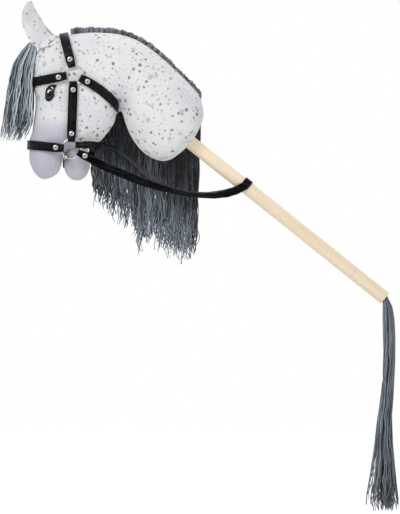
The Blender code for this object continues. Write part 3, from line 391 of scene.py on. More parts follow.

# %% [markdown]
# ## Leather
# The bridle is cut from black leather strap: a fine grain, hardly any shine, faint grey
# streaks of painted sheen that follow the strap, and edges that were rubbed smooth and
# catch a little light. The inner, flesh side is grey and dull, and shows where the far
# rein turns it to the viewer. A picture of hide could give the grain, but the borders of
# a cell pattern look like pores at any size and need no unwrapping.

# %% Leather finishes
# the colour of the painted sheen, in pale streaks along the straps
SHEEN_STREAK_GREY = (0.040, 0.040, 0.042)


def leather_finish(name, color, roughness, grain, shine, sheen_streaks=0.0, lie=0.0):
    """Strap leather, with painted sheen in pale streaks that follow the strap, which lies at a
    turn from level.
    """
    finish = material(name)
    at = finish.place()
    fold = finish.noise(at, 60.0, 3.0)
    pores = finish.node("ShaderNodeTexVoronoi", {"feature": "DISTANCE_TO_EDGE"}, Vector=at,
                        Scale=900.0)
    worn = tuple(min(c * 2.6 + 0.004, 1.0) for c in color)
    base = finish.mix(fold.rises(0.45, 0.8) * 0.6, color, worn)
    along = finish.aimed(at, rotation=(0.0, math.radians(lie), 0.0))
    # painted sheen: pale streaks along the strap
    sheen_streak = finish.noise(finish.aimed(along, scale=(16.0, 16.0, 1.0)), 360.0, 2.0)
    base = finish.mix(sheen_streak.rises(0.53, 0.72) * sheen_streaks, base, SHEEN_STREAK_GREY)
    dull = fold * 0.22 + (roughness - 0.11)
    height = pores.rises(0.0, 0.25) * 0.6 + fold * 0.8
    return finish.surface(Base_Color=base, Roughness=dull, Specular_IOR_Level=shine,
                          Normal=finish.bump(height, grain, 0.5))


leather_edge = leather_finish("leather_edge", (0.008, 0.008, 0.008), 0.34, 0.0001, 0.22)
leather_flesh = leather_finish("leather_flesh", (0.066, 0.067, 0.071), 0.85, 0.0004, 0.10)

# %% [markdown]
# ## Metal and wood
# Rings and rivets are nickel plated, with faint smudges in the gloss. The bit is cast
# in a duller brassy metal. The stick is oiled beech: its grain runs along the axis, so
# the pattern is turned by the stick's tilt and stretched along it. Noise suits a turned
# stick better than a picture of wood, which would need a seam along it.

# %% Metal finishes
def metal_finish(name, color, roughness):
    finish = material(name)
    at = finish.place()
    smudge = finish.noise(at, 240.0, 3.0)
    base = finish.mix(smudge.rises(0.5, 0.85) * 0.3, color, tuple(c * 0.62 for c in color))
    return finish.surface(Base_Color=base, Metallic=1.0,
                          Roughness=smudge * 0.16 + (roughness - 0.08))


nickel = metal_finish("nickel_plate", (0.74, 0.725, 0.69), 0.20)
rivet_metal = metal_finish("rivet_nickel", (0.56, 0.55, 0.53), 0.36)
bit_metal = metal_finish("bit_metal", (0.70, 0.63, 0.50), 0.38)

# %% Wood finish
STICK_TILT = math.radians(38.7)


def wood_finish(name):
    finish = material(name)
    at = finish.place()
    along = finish.aimed(at, rotation=(0.0, STICK_TILT, 0.0))
    stretched = finish.aimed(along, scale=(9.0, 1.0, 1.0))
    figure = finish.noise(stretched, 46.0, 4.0)
    rays = finish.noise(finish.aimed(along, scale=(30.0, 1.0, 1.0)), 520.0, 2.0)
    base = finish.mix(figure.rises(0.32, 0.72), (0.84, 0.72, 0.545), (0.77, 0.635, 0.455))
    base = finish.mix(rays.rises(0.60, 0.80) * 0.14, base, (0.62, 0.47, 0.31))
    return finish.surface(Base_Color=base, Roughness=figure * 0.2 + 0.42,
                          Specular_IOR_Level=0.35,
                          Normal=finish.bump(rays * 0.5 + figure, 0.0003, 0.4))


beech = wood_finish("beech_oiled")
for node in ("stick", "stick_end_piece"):
    dress(node, beech)
dress("bit_mouthpiece", bit_metal)

# %% [markdown]
# ## Mesh helpers
# A node of the frame is a set of loose triangles. A copy of it is merged into one skin
# before anything else is done to it, and triangle pairs become quads, which bevel and
# subdivide cleanly. Working on copies keeps every piece at the place where the model
# has it.

# %% Mesh helpers
MERGE = 1e-6


def merged(node):
    bm = bmesh.new()
    bm.from_mesh(nodes[node].data)
    bmesh.ops.remove_doubles(bm, verts=bm.verts, dist=MERGE)
    return bm


def to_quads(bm, angle=40.0):
    bmesh.ops.join_triangles(bm, faces=bm.faces, angle_face_threshold=math.radians(angle),
                             angle_shape_threshold=math.radians(80.0))


def add_piece(name, bm, finishes, body, stands_for=()):
    """Link a mesh as a piece that stands for its nodes and rides on a body, if given."""
    mesh = mesh_of(name, bm)
    mesh.shade_smooth()
    for finish in finishes:
        mesh.materials.append(finish)
    piece = linked(name, mesh)
    if body:
        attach(piece, body)
    if stands_for:
        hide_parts(*stands_for)
    return piece


def quad_copy(node, name, finish, body="horse"):
    """A piece that has a node's own shape."""
    bm = merged(node)
    to_quads(bm)
    return add_piece(name, bm, [finish], body, (node,))


def modify(piece, kind, **settings):
    modifier = piece.modifiers.new(kind.lower(), kind)
    for name, value in settings.items():
        setattr(modifier, name, value)
    return modifier


def subdivide(piece, levels):
    modify(piece, "SUBSURF", levels=levels, render_levels=levels)


# %% [markdown]
# Rings and rivet caps are round, and the frame's solids are faceted. They could be spun
# anew from a profile, but a copy is sure to sit where the leather holds it, so each
# gets a copy whose sharp turns are subdivided away.

# %% Rings and rivets
def body_of(node):
    return next(name for name, place in frame["bodies"].items() if place == nodes[node].parent)


for node in [n for n in nodes if "ring_left" in n or "ring_right" in n or "rivet" in n]:
    cap = "rivet" in node
    piece = quad_copy(node, "round_" + node, rivet_metal if cap else nickel,
                      body_of(node))
    subdivide(piece, 2 if cap else 1)
print("metal and wood on", sum("rivet" in n for n in nodes), "rivets")

# %% [markdown]
# ## The head
# The real head is cut from plush, sewn along its middle and stuffed hard. The solid of
# the cover gives the outline. A flood fill sorts its faces into shells, and the outer
# one is closed, given an even mesh by a voxel remesh, and blown up a little as cloth
# under pressure, so that the plush swells between the straps and stays down beneath
# them. Moving each point along its normal would be quicker, but it swells hollows as
# much as bulges, which cloth doesn't. What holds the cloth is measured: the nearer a
# point lies to a strap, ring, rivet, eye or ear, the less it may move.

# %% Head: closed skin from the cover's outside
STICK_AXIS = Vector((math.cos(STICK_TILT), 0.0, -math.sin(STICK_TILT)))
NECK_PLACE = -230.5 * MM
NECK_RADIUS = 16.5 * MM
NECK_RIM = 6.0 * MM


def off_axis(point):
    """How far along the stick's axis and how far out from it a point lies."""
    along = point.dot(STICK_AXIS)
    return along, (point - STICK_AXIS * along).length


def at_neck(point):
    along, out = off_axis(point)
    return abs(along - NECK_PLACE) < NECK_RIM and out < NECK_RADIUS


def connected(parts, neighbours):
    """The groups of a mesh's parts that are joined by way of their neighbours."""
    left = set(parts)
    groups = []
    while left:
        edge = [left.pop()]
        group = set(edge)
        while edge:
            for part in neighbours(edge.pop()):
                if part not in group:
                    group.add(part)
                    left.discard(part)
                    edge.append(part)
        groups.append(group)
    return groups


def outer_skin(node):
    """The outside of a hollow cover: its rim is cut out and the larger shell is kept."""
    bm = merged(node)
    rim = [f for f in bm.faces if all(at_neck(v.co) for v in f.verts)]
    bmesh.ops.delete(bm, geom=rim, context="FACES")
    shells = connected(bm.verts, lambda v: [w for e in v.link_edges for w in e.verts])
    outside = max(shells, key=lambda shell: sum(max(abs(v.co[k]) for v in shell)
                                                for k in (1, 2)))
    bmesh.ops.delete(bm, geom=[v for v in bm.verts if v not in outside], context="VERTS")
    bmesh.ops.holes_fill(bm, edges=bm.edges, sides=0)
    to_quads(bm)
    bmesh.ops.recalc_face_normals(bm, faces=bm.faces)
    return bm


head_mesh = outer_skin("head_cover")
print("head skin", len(head_mesh.verts), "points", len(head_mesh.faces), "faces")

# %% Finished meshes and search trees
def evaluated_mesh(piece):
    bpy.context.view_layer.update()
    depsgraph = bpy.context.evaluated_depsgraph_get()
    return bpy.data.meshes.new_from_object(piece.evaluated_get(depsgraph))


def apply_modifiers(piece):
    shape = evaluated_mesh(piece)
    piece.modifiers.clear()
    old = piece.data
    piece.data = shape
    bpy.data.meshes.remove(old)


def tree_of(meshes):
    """A search tree over several meshes together."""
    verts, faces = [], []
    for mesh in meshes:
        start = len(verts)
        verts.extend(v.co.copy() for v in mesh.vertices)
        faces.extend([start + k for k in p.vertices] for p in mesh.polygons)
    return BVHTree.FromPolygons(verts, faces)


def between(value, low, high):
    """0 at low and 1 at high, smooth between; low may be the larger."""
    share = min(max((value - low) / (high - low), 0.0), 1.0)
    return share * share * (3.0 - 2.0 * share)


# %% Head: swelling between what holds it
BRIDLE_HOLD = (16.0 * MM, 3.5 * MM)
NECK_HOLD = (40.0 * MM, 16.0 * MM)
NECK_HOLD_REACH = 60.0 * MM
CLOTH = {"use_pressure": True, "quality": 4, "tension_stiffness": 12.0,
         "bending_stiffness": 0.4}
CLOTH_FRAMES = 20


def swollen(piece, voxel, pressure, cap, hold):
    """Remesh a closed form, blow it up as cloth, and keep a capped part of the swelling."""
    modify(piece, "REMESH", mode="VOXEL", voxel_size=voxel)
    apply_modifiers(piece)
    modify(piece, "SMOOTH", iterations=2, factor=0.5)
    apply_modifiers(piece)
    cloth = modify(piece, "CLOTH")
    for name, value in CLOTH.items():
        setattr(cloth.settings, name, value)
    cloth.settings.uniform_pressure_force = pressure
    cloth.settings.effector_weights.gravity = 0.0
    cloth.point_cache.frame_start = 1
    cloth.point_cache.frame_end = CLOTH_FRAMES
    for number in range(1, CLOTH_FRAMES + 1):
        scene.frame_set(number)
    blown = evaluated_mesh(piece)
    furthest = 0.0
    for vert, end in zip(piece.data.vertices, blown.vertices):
        move = end.co - vert.co
        limit = cap * (1.0 - hold(vert.co))
        if move.length > limit:
            move *= limit / max(move.length, 1e-9)
        furthest = max(furthest, move.length)
        vert.co += move
    piece.modifiers.clear()
    bpy.data.meshes.remove(blown)
    scene.frame_set(1)
    return furthest


holders = tree_of([nodes[n].data for n in nodes if n not in
                   ("head_cover", "head_stuffing", "mane", "forelock", "tail", "tail_root",
                    "stick", "stick_end_piece", "reins")])


def held_by_bridle(point):
    along, out = off_axis(point)
    neck = between(out, *NECK_HOLD) if along > NECK_PLACE - NECK_HOLD_REACH else 0.0
    return max(between(holders.find_nearest(point)[3], *BRIDLE_HOLD), neck)


head = add_piece("plush_head", head_mesh, [plush], "horse",
                 ("head_cover", "head_stuffing"))
subdivide(head, 2)
apply_modifiers(head)
reach = swollen(head, 5.0 * MM, 4.0, 3.2 * MM, held_by_bridle)
print("head", len(head.data.vertices), "points, swelled", round(reach / MM, 2), "mm")

# %% [markdown]
# The cover is sewn along its middle, where the seam pulls the plush in, and gathered
# round the stick, where it falls into pleats. Both could be pulled in during the
# simulation, but as small moves of the points along their normals they are easier to
# steer. They come after the remesh, which would have rubbed them out. Below the
# noseband nothing holds the stuffing, so the front of the muzzle bulges out there.

# %% Head: seam and gathers
SEAM_HALF_WIDTH = 7.0 * MM
SEAM_DEPTH = 1.6 * MM
PLEATS = 9
PLEAT_DEPTH = 1.5 * MM
PLEAT_REACH = 45.0 * MM
PLEAT_WIDTHS = (50.0 * MM, 15.0 * MM)
MUZZLE_BACK = (-405.0 * MM, -430.0 * MM)
MUZZLE_HEIGHTS = (129.0 * MM, 113.0 * MM)
MUZZLE_MIDDLE = Vector((-440.0, 0.0, 118.0)) * MM
MUZZLE_BULGE = 5.4 * MM
MUZZLE_FRONT = (-0.15, 0.4)
PLEAT_WANDER = (40.0, 1.2)
CRUMPLES = [(26.0, 0.5), (70.0, 0.25)]


def sewn(piece):
    for vert in piece.data.vertices:
        depth = SEAM_DEPTH * (1.0 - between(abs(vert.co.y), 0.0, SEAM_HALF_WIDTH))
        along, out = off_axis(vert.co)
        if along > NECK_PLACE - PLEAT_REACH:
            around = vert.co - STICK_AXIS * along
            turn = math.atan2(around.y, around.dot(STICK_AXIS.cross(Vector((0, 1, 0)))))
            wander = noise.noise(vert.co * PLEAT_WANDER[0]) * PLEAT_WANDER[1]
            depth += (PLEAT_DEPTH * between(out, *PLEAT_WIDTHS)
                      * (0.5 - 0.5 * math.cos(PLEATS * turn + wander)))
        crumple = sum(noise.noise(vert.co * pitch) * size for pitch, size in CRUMPLES)
        vert.co -= vert.normal * (depth - crumple * MM * (1.0 - held_by_bridle(vert.co)))


def bulged(piece):
    for vert in piece.data.vertices:
        out = (vert.co - MUZZLE_MIDDLE).normalized()
        share = between(vert.co.x, *MUZZLE_BACK) * between(vert.co.z, *MUZZLE_HEIGHTS)
        vert.co += out * MUZZLE_BULGE * between(-out.x, *MUZZLE_FRONT) * share


sewn(head)
bulged(head)
head.data.shade_smooth()
subdivide(head, 1)
head_shape = tree_of([evaluated_mesh(head)])
print("head shape", len(head.data.vertices), "points")

# %% [markdown]
# Chin and ears are sewn to the head. Merged into one mesh with it they would show no
# seam, but each has to stay a piece of its own. So close to the head their normals turn
# into those of the surface they grow out of, and no hard line shows where two pieces
# meet.

# %% Shading across a seam
FLARE_HEIGHT = 15.0 * MM
FLARE_WIDTH = 9.0 * MM
FLARE_SINK = 2.2 * MM
EAR_SHADE = 7.0 * MM
CHIN_SHADE = 9.0 * MM


def lit_like_head(piece, reach, upright=False):
    """Shade a piece near the head as the head, or, under the jaw, as an upright wall."""
    piece.data.shade_smooth()
    piece.data.update()
    lit = []
    for vert in piece.data.vertices:
        _, normal, _, gap = head_shape.find_nearest(vert.co)
        if upright:
            normal = Vector((vert.normal.x, vert.normal.y, 0.0))
        lit.append(vert.normal.lerp(normal, 1.0 - between(gap, 0.0, reach)).normalized())
    piece.data.normals_split_custom_set_from_vertices(lit)


def flared(piece):
    """The foot of a piece spreads over the head and sinks into its pile."""
    moves = []
    for vert in piece.data.vertices:
        _, normal, _, gap = head_shape.find_nearest(vert.co)
        share = max(1.0 - gap / FLARE_HEIGHT, 0.0) ** 3
        away = vert.normal - normal * vert.normal.dot(normal)
        moves.append(away * FLARE_WIDTH * share - normal * FLARE_SINK * share)
    for vert, move in zip(piece.data.vertices, moves):
        vert.co += move


# %% [markdown]
# The chin is a smaller stuffed ball sewn under the muzzle. It goes through the same
# steps as the head, from a copy of its own solid, but so small a ball hardly gives
# under the pressure: what shapes it is the even mesh and its smoothing. That alone
# would leave a gap at the jaw, so its top is drawn up there, as the stitches hold it.

# %% Chin
CHIN_HOLD = (9.0 * MM, 1.5 * MM)
CHIN_SEAM_SINK = 0.6 * MM
CHIN_SEAM_DRAW = (15.0 * MM, 7.0 * MM)

chin = quad_copy("chin_pad", "plush_chin", plush)
subdivide(chin, 1)
apply_modifiers(chin)
chin_holders = tree_of([nodes[n].data for n in nodes if n not in
                        ("chin_pad", "head_stuffing", "mane", "reins")])


def held_chin(point):
    return between(chin_holders.find_nearest(point)[3], *CHIN_HOLD)


reach = swollen(chin, 4.0 * MM, 4.0, 1.5 * MM, held_chin)
for vert in chin.data.vertices:
    above = head_shape.ray_cast(vert.co, Vector((0.0, 0.0, 1.0)))[0]
    if above is not None and vert.normal.z > 0.0:
        rise = above.z - vert.co.z + CHIN_SEAM_SINK
        vert.co.z += rise * between(rise, *CHIN_SEAM_DRAW)
subdivide(chin, 1)
apply_modifiers(chin)
lit_like_head(chin, CHIN_SHADE, upright=True)
print("chin", len(chin.data.vertices), "points, swelled", round(reach / MM, 2), "mm")

# %% [markdown]
# ## Ears
# Each ear is a flat plush leaf, folded lengthwise, with a thin lining in its cup. It
# could be bent from a flat cut-out, but the solid has the cup's form already, so a copy
# is subdivided, which rounds its rim, and its foot spreads over the head. The lining is
# a thin sheet that lies stretched in the cup.

lining_finish = material("ear_lining_cotton")
lining_at = lining_finish.place()
lining_weave = lining_finish.noise(lining_at, 900.0, 2.0)
lining_tone = lining_finish.noise(lining_at, 30.0, 2.0)
lining = lining_finish.surface(
    Base_Color=lining_finish.mix(lining_tone, (0.50, 0.49, 0.56), (0.62, 0.61, 0.66)),
    Roughness=0.92, Sheen_Weight=0.3,
    Normal=lining_finish.bump(lining_weave, 0.0005, 0.6))

for side in ("left", "right"):
    ear = quad_copy("ear_" + side, "plush_ear_" + side, plush)
    subdivide(ear, 2)
    apply_modifiers(ear)
    flared(ear)
    lit_like_head(ear, EAR_SHADE)
    inner = quad_copy("ear_lining_" + side, "ear_cup_" + side, lining)

# %% [markdown]
# ## Eyes
# The eye is an embroidered patch. Threads could be laid one by one, but at this size
# rings of colour about the pupil look the same. They are drawn by the distance from the
# eye's centre, on axes turned like the patch. The satin stitch is a fine slanting bump
# that also frays the rings' borders. Three small white stitches are the glints.

# %% Eye finish
EYE_CENTRE = Vector((-440.4, 0.0, 234.6)) * MM
EYE_TILT = math.radians(25.0)
EYE_WIDTH, EYE_HEIGHT = 9.6 * MM, 15.0 * MM
EYE_RIM = 0.35 * MM
EYE_RINGS = [
    # share of the way out, colour
    (0.00, (0.002, 0.002, 0.002)),
    (0.34, (0.002, 0.002, 0.002)),
    (0.41, (0.026, 0.009, 0.008)),
    (0.54, (0.034, 0.012, 0.010)),
    (0.60, (0.110, 0.058, 0.055)),
    (0.66, (0.030, 0.011, 0.011)),
    (0.74, (0.003, 0.002, 0.003)),
]
GLINTS = [
    # centre x and z, half sizes, turn
    (-442.9, 238.4, 1.4, 3.0, 20.0),
    (-435.6, 245.2, 1.0, 3.0, -52.0),
    (-439.5, 240.6, 0.8, 2.4, -68.0),
]


def eye_finish(name):
    finish = material(name)
    at = finish.place()

    def local(x, z, turn):
        centred = finish.aimed(at, location=(x, 0.0, z), rotation=(0.0, turn, 0.0))
        along = finish.axes(centred)
        return along[0], along[2]

    across, up = local(EYE_CENTRE.x, EYE_CENTRE.z, EYE_TILT)
    wide, tall = across / EYE_WIDTH, up / EYE_HEIGHT
    ring = (wide * wide + tall * tall) ** 0.5
    bands = {"wave_type": "BANDS", "bands_direction": "DIAGONAL"}
    stitch = finish.node("ShaderNodeTexWave", bands, Vector=at, Scale=520.0,
                         Distortion=1.5, Detail=1.0)
    frayed = ring + (stitch - 0.5) * 0.07
    base = finish.node("ShaderNodeValToRGB", {"stops": EYE_RINGS}, frayed)
    for x, z, half, long, turn in GLINTS:
        side, rise = local(x * MM, z * MM, math.radians(turn))
        side, rise = side / (half * MM), rise / (long * MM)
        glint = (side * side + rise * rise).rises(1.25, 0.75)
        base = finish.mix(glint, base, (0.86, 0.84, 0.84))
    return finish.surface(Base_Color=base, Roughness=0.5, Specular_IOR_Level=0.15,
                          Normal=finish.bump(stitch, 0.0003, 0.6))


# %% Eye patches
def is_sharp(edge, angle=50.0):
    return edge.calc_face_angle(0.0) > math.radians(angle)


def rounded(bm, offset, skip=lambda edge: False):
    """Bevel the sharp edges of a mesh and return the new faces."""
    edges = [e for e in bm.edges if is_sharp(e) and not skip(e)]
    made = bmesh.ops.bevel(bm, geom=edges, offset=offset, offset_type="OFFSET",
                           affect="EDGES", segments=2, profile=0.5, material=-1,
                           clamp_overlap=True)
    return made["faces"]


eye_thread = eye_finish("eye_embroidery")
for side in ("left", "right"):
    bm = merged("eye_" + side)
    rounded(bm, EYE_RIM)
    add_piece("eye_patch_" + side, bm, [eye_thread], "horse", ("eye_" + side,))
print("eyes sewn on")

# %% [markdown]
# ## Bridle
# Each strap is one length of leather that goes through a ring and is folded back on
# itself under a rivet. A band swept along a path would need its turns through the rings
# made again, and the solids have them. So the straps are copies, with their rims
# rounded as an edge tool leaves them, and the rounded faces take a lighter, burnished
# finish. Holes under the rivet caps stay as they are. The chin strap tapers behind the
# near ring, and hangs a little lower there.

# %% Strap shapes
RIM = 0.42 * MM
RIVET_REACH = 5.0 * MM
STRAPS = [
    # node, turn of the leather's streaks of painted sheen
    ("crown_strap", 72.0), ("browband", -8.0), ("throat_strap", 34.0), ("noseband", 4.0),
    ("chin_strap", 0.0), ("cheekpiece_left", 90.0), ("cheekpiece_right", 90.0),
    ("reins", 18.0),
]
CHIN_STRAP_TIP = Vector((-341.0, 0.0, 143.6)) * MM
CHIN_STRAP_TAPER = 24.0 * MM
CHIN_STRAP_PULL = 0.75
CHIN_STRAP_HALF = 3.0 * MM
CHIN_STRAP_DROP = 1.0 * MM
CHIN_STRAP_DROPS = (-356.0 * MM, -374.0 * MM)

rivet_places = [sum((Vector(c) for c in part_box(n)), Vector()) / 2 for n in nodes
                if n.startswith("rivet")]


def under_rivet(edge):
    middle = (edge.verts[0].co + edge.verts[1].co) / 2
    return min((middle - place).length for place in rivet_places) < RIVET_REACH


def flesh_side(bm):
    """Of a strap's two large sides, the one that faces the middle of the horse."""
    sides = connected(bm.faces, lambda face: [other for e in face.edges if not is_sharp(e)
                                              for other in e.link_faces])
    sides.sort(key=lambda side: sum(f.calc_area() for f in side), reverse=True)
    return max(sides[:2], key=lambda side: sum(
        -math.copysign(f.calc_area(), f.calc_center_median().y) * f.normal.y for f in side))


def drawn_in(bm):
    """The chin strap's taper and drop."""
    for vert in bm.verts:
        share = between(vert.co.x, CHIN_STRAP_TIP.x - CHIN_STRAP_TAPER, CHIN_STRAP_TIP.x)
        vert.co.z += (CHIN_STRAP_TIP.z - vert.co.z) * CHIN_STRAP_PULL * share
        if vert.co.z < CHIN_STRAP_TIP.z - CHIN_STRAP_HALF and vert.co.y < 0.0:
            vert.co.z -= CHIN_STRAP_DROP * between(vert.co.x, *CHIN_STRAP_DROPS)


# %% Straps
for node, lie in STRAPS:
    is_reins = node == "reins"
    bm = merged(node)
    to_quads(bm, 25.0)
    if is_reins:
        for face in flesh_side(bm):
            face.material_index = 2
    for face in rounded(bm, RIM, skip=under_rivet):
        face.material_index = 1
    if node == "chin_strap":
        drawn_in(bm)
    leather = leather_finish("leather_" + node, (0.0012, 0.0011, 0.0013), 0.38, 0.00012,
                             0.05 if is_reins else 0.13, 0.5, lie)
    finishes = [leather, leather_edge] + ([leather_flesh] if is_reins else [])
    piece = add_piece(node + "_leather", bm, finishes, "reins" if is_reins else "horse",
                      (node,))
    print(piece.name, len(piece.data.polygons), "faces")

# %% [markdown]
# ## Yarn
# Mane, forelock and tail are bundles of soft twisted yarn. Hair would be quick to grow,
# but it isn't a mesh, and each piece here has to be one. A strand is a curve with a
# four-sided bevel: cheap enough to have hundreds, and smooth shading rounds it. Strands
# are made in locks that wave together and come to a common tip, which is what makes
# yarn look combed rather than random. The shade of each strand is stored on its points,
# and the finish reads it there.

# %% Yarn finish
def yarn_finish(name, dark, pale):
    finish = material(name)
    at = finish.place()
    tone = finish.node("ShaderNodeAttribute", {"attribute_name": "tone"}, output="Fac")
    fibre = finish.noise(at, 1400.0, 2.0)
    drift = finish.noise(at, 24.0, 2.0)
    shade = tone + (drift - 0.5) * 0.5 + (fibre - 0.5) * 0.3
    base = finish.mix(shade.rises(0.0, 1.0), dark, pale)
    return finish.surface(Base_Color=base, Roughness=0.62, Sheen_Weight=0.35,
                          Sheen_Roughness=0.4, Specular_IOR_Level=0.4,
                          Normal=finish.bump(fibre, 0.0005, 0.6))


mane_yarn = yarn_finish("mane_yarn_dark", (0.003, 0.004, 0.008), (0.23, 0.275, 0.325))
crest_yarn = yarn_finish("crest_yarn_grey", (0.045, 0.044, 0.058), (0.27, 0.265, 0.32))
forelock_yarn = yarn_finish("forelock_yarn_grey", (0.016, 0.024, 0.036), (0.60, 0.68, 0.74))
tail_yarn = yarn_finish("tail_yarn_dark", (0.010, 0.012, 0.018), (0.26, 0.295, 0.34))

# %% Strands
STRAND_SIDES = 4
TIP_THINS = (0.85, 1.0)
TIP_LOSS = 0.35


def strands(name, paths, radius, finish, body, stands_for=()):
    """One piece from many paths. A path is its points, their tones and a thickness."""
    curve = bpy.data.curves.new(name + "_curve", "CURVE")
    curve.dimensions = "3D"
    curve.bevel_depth = radius
    curve.bevel_resolution = 0
    curve.use_fill_caps = True
    for points, _, thick in paths:
        spline = curve.splines.new("POLY")
        spline.points.add(len(points) - 1)
        for k, point in enumerate(points):
            share = k / (len(points) - 1)
            spline.points[k].co = (*point, 1.0)
            spline.points[k].radius = thick * (1.0 - TIP_LOSS * between(share, *TIP_THINS))
    holder = linked(name + "_curve", curve)
    mesh = evaluated_mesh(holder)
    bpy.data.objects.remove(holder)
    # the curve's mesh starts with the caps' points, last strand first
    rings = [tone for _, tones, _ in reversed(paths) for tone in (tones[-1], tones[0])]
    rings += [tone for _, tones, _ in paths for tone in tones]
    shades = [tone for tone in rings for _ in range(STRAND_SIDES)]
    mesh.attributes.new("tone", "FLOAT", "POINT").data.foreach_set("value", shades)
    bm = bmesh.new()
    bm.from_mesh(mesh)
    bpy.data.meshes.remove(mesh)
    print(name, len(paths), "strands", len(bm.faces), "faces")
    return add_piece(name, bm, [finish], body, stands_for)


# %% [markdown]
# ### The mane
# The strands are sewn to a band along the crest, fall over the far side of the neck and
# hang straight from its widest place. They could be dropped in a simulation, but a ray
# is quick, and gives the same fall in every run. It comes from the far side and finds
# the plush at each height; a strand stays outside everything that it has already
# passed, as a hanging thread does, and outside the throat strap. Two layers of locks
# lie over each other: a dark full one, and a thinner, paler one that hangs lower.

# %% Mane: outline and layers
CREST = [Vector((x, 0.0, z)) * MM for x, z in
         [(-401.0, 347.2), (-378.0, 350.0), (-344.0, 350.0), (-307.0, 346.0), (-274.0, 334.0),
          (-242.0, 312.0), (-211.0, 285.0), (-181.0, 256.0), (-161.0, 232.0)]]
HEM_LINE = [(-362.0, 40.0), (-357.0, 30.0), (-342.0, 17.0), (-329.0, 5.0), (-320.0, -5.0),
            (-303.0, -12.0), (-287.0, -18.0), (-281.0, -32.0), (-273.0, -64.0),
            (-261.0, -56.0), (-248.0, -46.0), (-237.0, -58.0), (-226.0, -64.0),
            (-213.0, -75.0), (-192.0, -79.0), (-174.0, -78.0), (-166.0, -68.0)]
HEM_LEFT, HEM_RIGHT = -359.0, -169.0
MANE_LAYERS = [
    # locks, strands in a lock, radius, depth, more depth, darkest, palest, tip lift, waves
    (60, 6, 1.25, 5.6, 4.6, -0.15, 0.14, (14.0, 66.0), 0.7),
    (62, 3, 0.9, 3.4, 1.8, -0.1, 0.58, (-4.0, 34.0), 0.85),
]
MANE_RADIUS = 1.0 * MM
# the mane's painted shade: darker in its upper part, as in the shadow of the neck, and lighter
# towards the tips
SHADED_UPPER_TONE = 0.5
LIT_LOWER_TONE = 0.5
DROPS = (0.0, 3.0, 9.0, 19.0, 34.0, 52.0, 70.0)
HANGING_POINTS = 34
ROOT_ARCH = 3.0 * MM
ROOT_ARCH_LENGTH = 9.0 * MM
ROOT_SPREAD, ROOT_SPREAD_END = 0.8, 6.0 * MM
LOCK_RIPPLE, LOCK_RIPPLE_TURN = 0.7 * MM, 60.0
HEM_REACHED = 300.0 * MM
TIP_SWAYS, PAINTED_SHADE_ENDS, PAINTED_LIGHT_TIPS = (0.45, 1.0), (0.35, 0.7), (0.62, 0.95)
BESIDE = 0.3
SIDE_SHIELDS = (
    # the fall stays this far out: below a height, and in front of a place
    (0.210, 1.0, 59.5 * MM),
    (0.295, -0.325, 62.5 * MM),
)


# %% Mane: one strand
def far_side(x, z):
    """How far out the plush reaches on the far side, or None outside its outline."""
    hit = head_shape.ray_cast(Vector((x, BESIDE, z)), Vector((0.0, -1.0, 0.0)))[0]
    return None if hit is None or hit.y < 0.0 else hit.y


def wavy(waves, drop):
    """The sum of a strand's waves; each starts at its own place and has its own pitch."""
    return sum(size * math.sin(phase + 2.0 * math.pi * drop / pitch)
               * between(drop, begin, begin + pitch) for size, pitch, phase, begin in waves)


def mane_strand(root, hem_x, tip, depth, waves, shade):
    """A strand from the crest, over the far side, to its tip, with painted shade darkening its
    upper part under the neck and painted light towards the tip.
    """
    length = root.z - tip.z
    top = [d * MM for d in DROPS]
    rest = [top[-1] + (length - top[-1]) * (k + 1) / HANGING_POINTS
            for k in range(HANGING_POINTS)]
    points, tones, out = [], [], root.y
    for drop in top + rest:
        fall = drop / length
        z = root.z + ROOT_ARCH * math.sin(min(drop / ROOT_ARCH_LENGTH, math.pi)) - drop
        x = root.x + (hem_x - root.x) * between(drop, 0.0, HEM_REACHED) + wavy(waves, drop)
        x += (tip.x - hem_x) * between(fall, *TIP_SWAYS)
        skin = far_side(x, z)
        if skin is not None:
            out = max(out, skin + depth)
        for height, place, reach in SIDE_SHIELDS:
            if z < height and x < place:
                out = max(out, reach + depth * 0.5)
        if drop < ROOT_SPREAD_END:
            out = max(out, root.y + drop * ROOT_SPREAD)
        ripple = LOCK_RIPPLE * math.cos(waves[0][2] + drop * LOCK_RIPPLE_TURN)
        points.append(Vector((x, out + ripple, z)))
        # painted shade darkens the upper part; painted light lifts the lower part and the tips
        tones.append(shade * (SHADED_UPPER_TONE + (1.0 - SHADED_UPPER_TONE) * between(fall, *PAINTED_SHADE_ENDS))
                     + LIT_LOWER_TONE * between(fall, *PAINTED_LIGHT_TIPS) * (0.5 + max(shade, 0.0)))
    for _ in range(2):
        middle = [(a.y + 2.0 * b.y + c.y) / 4.0
                  for a, b, c in zip(points, points[1:], points[2:])]
        for point, y in zip(points[4:-1], middle[3:]):
            point.y = max(point.y, y)
    return points, tones


# %% Mane: locks
def polyline(points, share):
    """The point at a share of a polyline's length."""
    lengths = [(b - a).length for a, b in zip(points, points[1:])]
    left = share * sum(lengths)
    for a, b, length in zip(points, points[1:], lengths):
        if left <= length:
            return a.lerp(b, left / length)
        left -= length
    return points[-1]


def along_table(table, key):
    """Linear values from a table whose first column is the key."""
    rows = sorted(table)
    if key <= rows[0][0]:
        return rows[0][1:]
    for low, high in zip(rows, rows[1:]):
        if key <= high[0]:
            share = (key - low[0]) / (high[0] - low[0])
            return tuple(a + (b - a) * share for a, b in zip(low[1:], high[1:]))
    return rows[-1][1:]


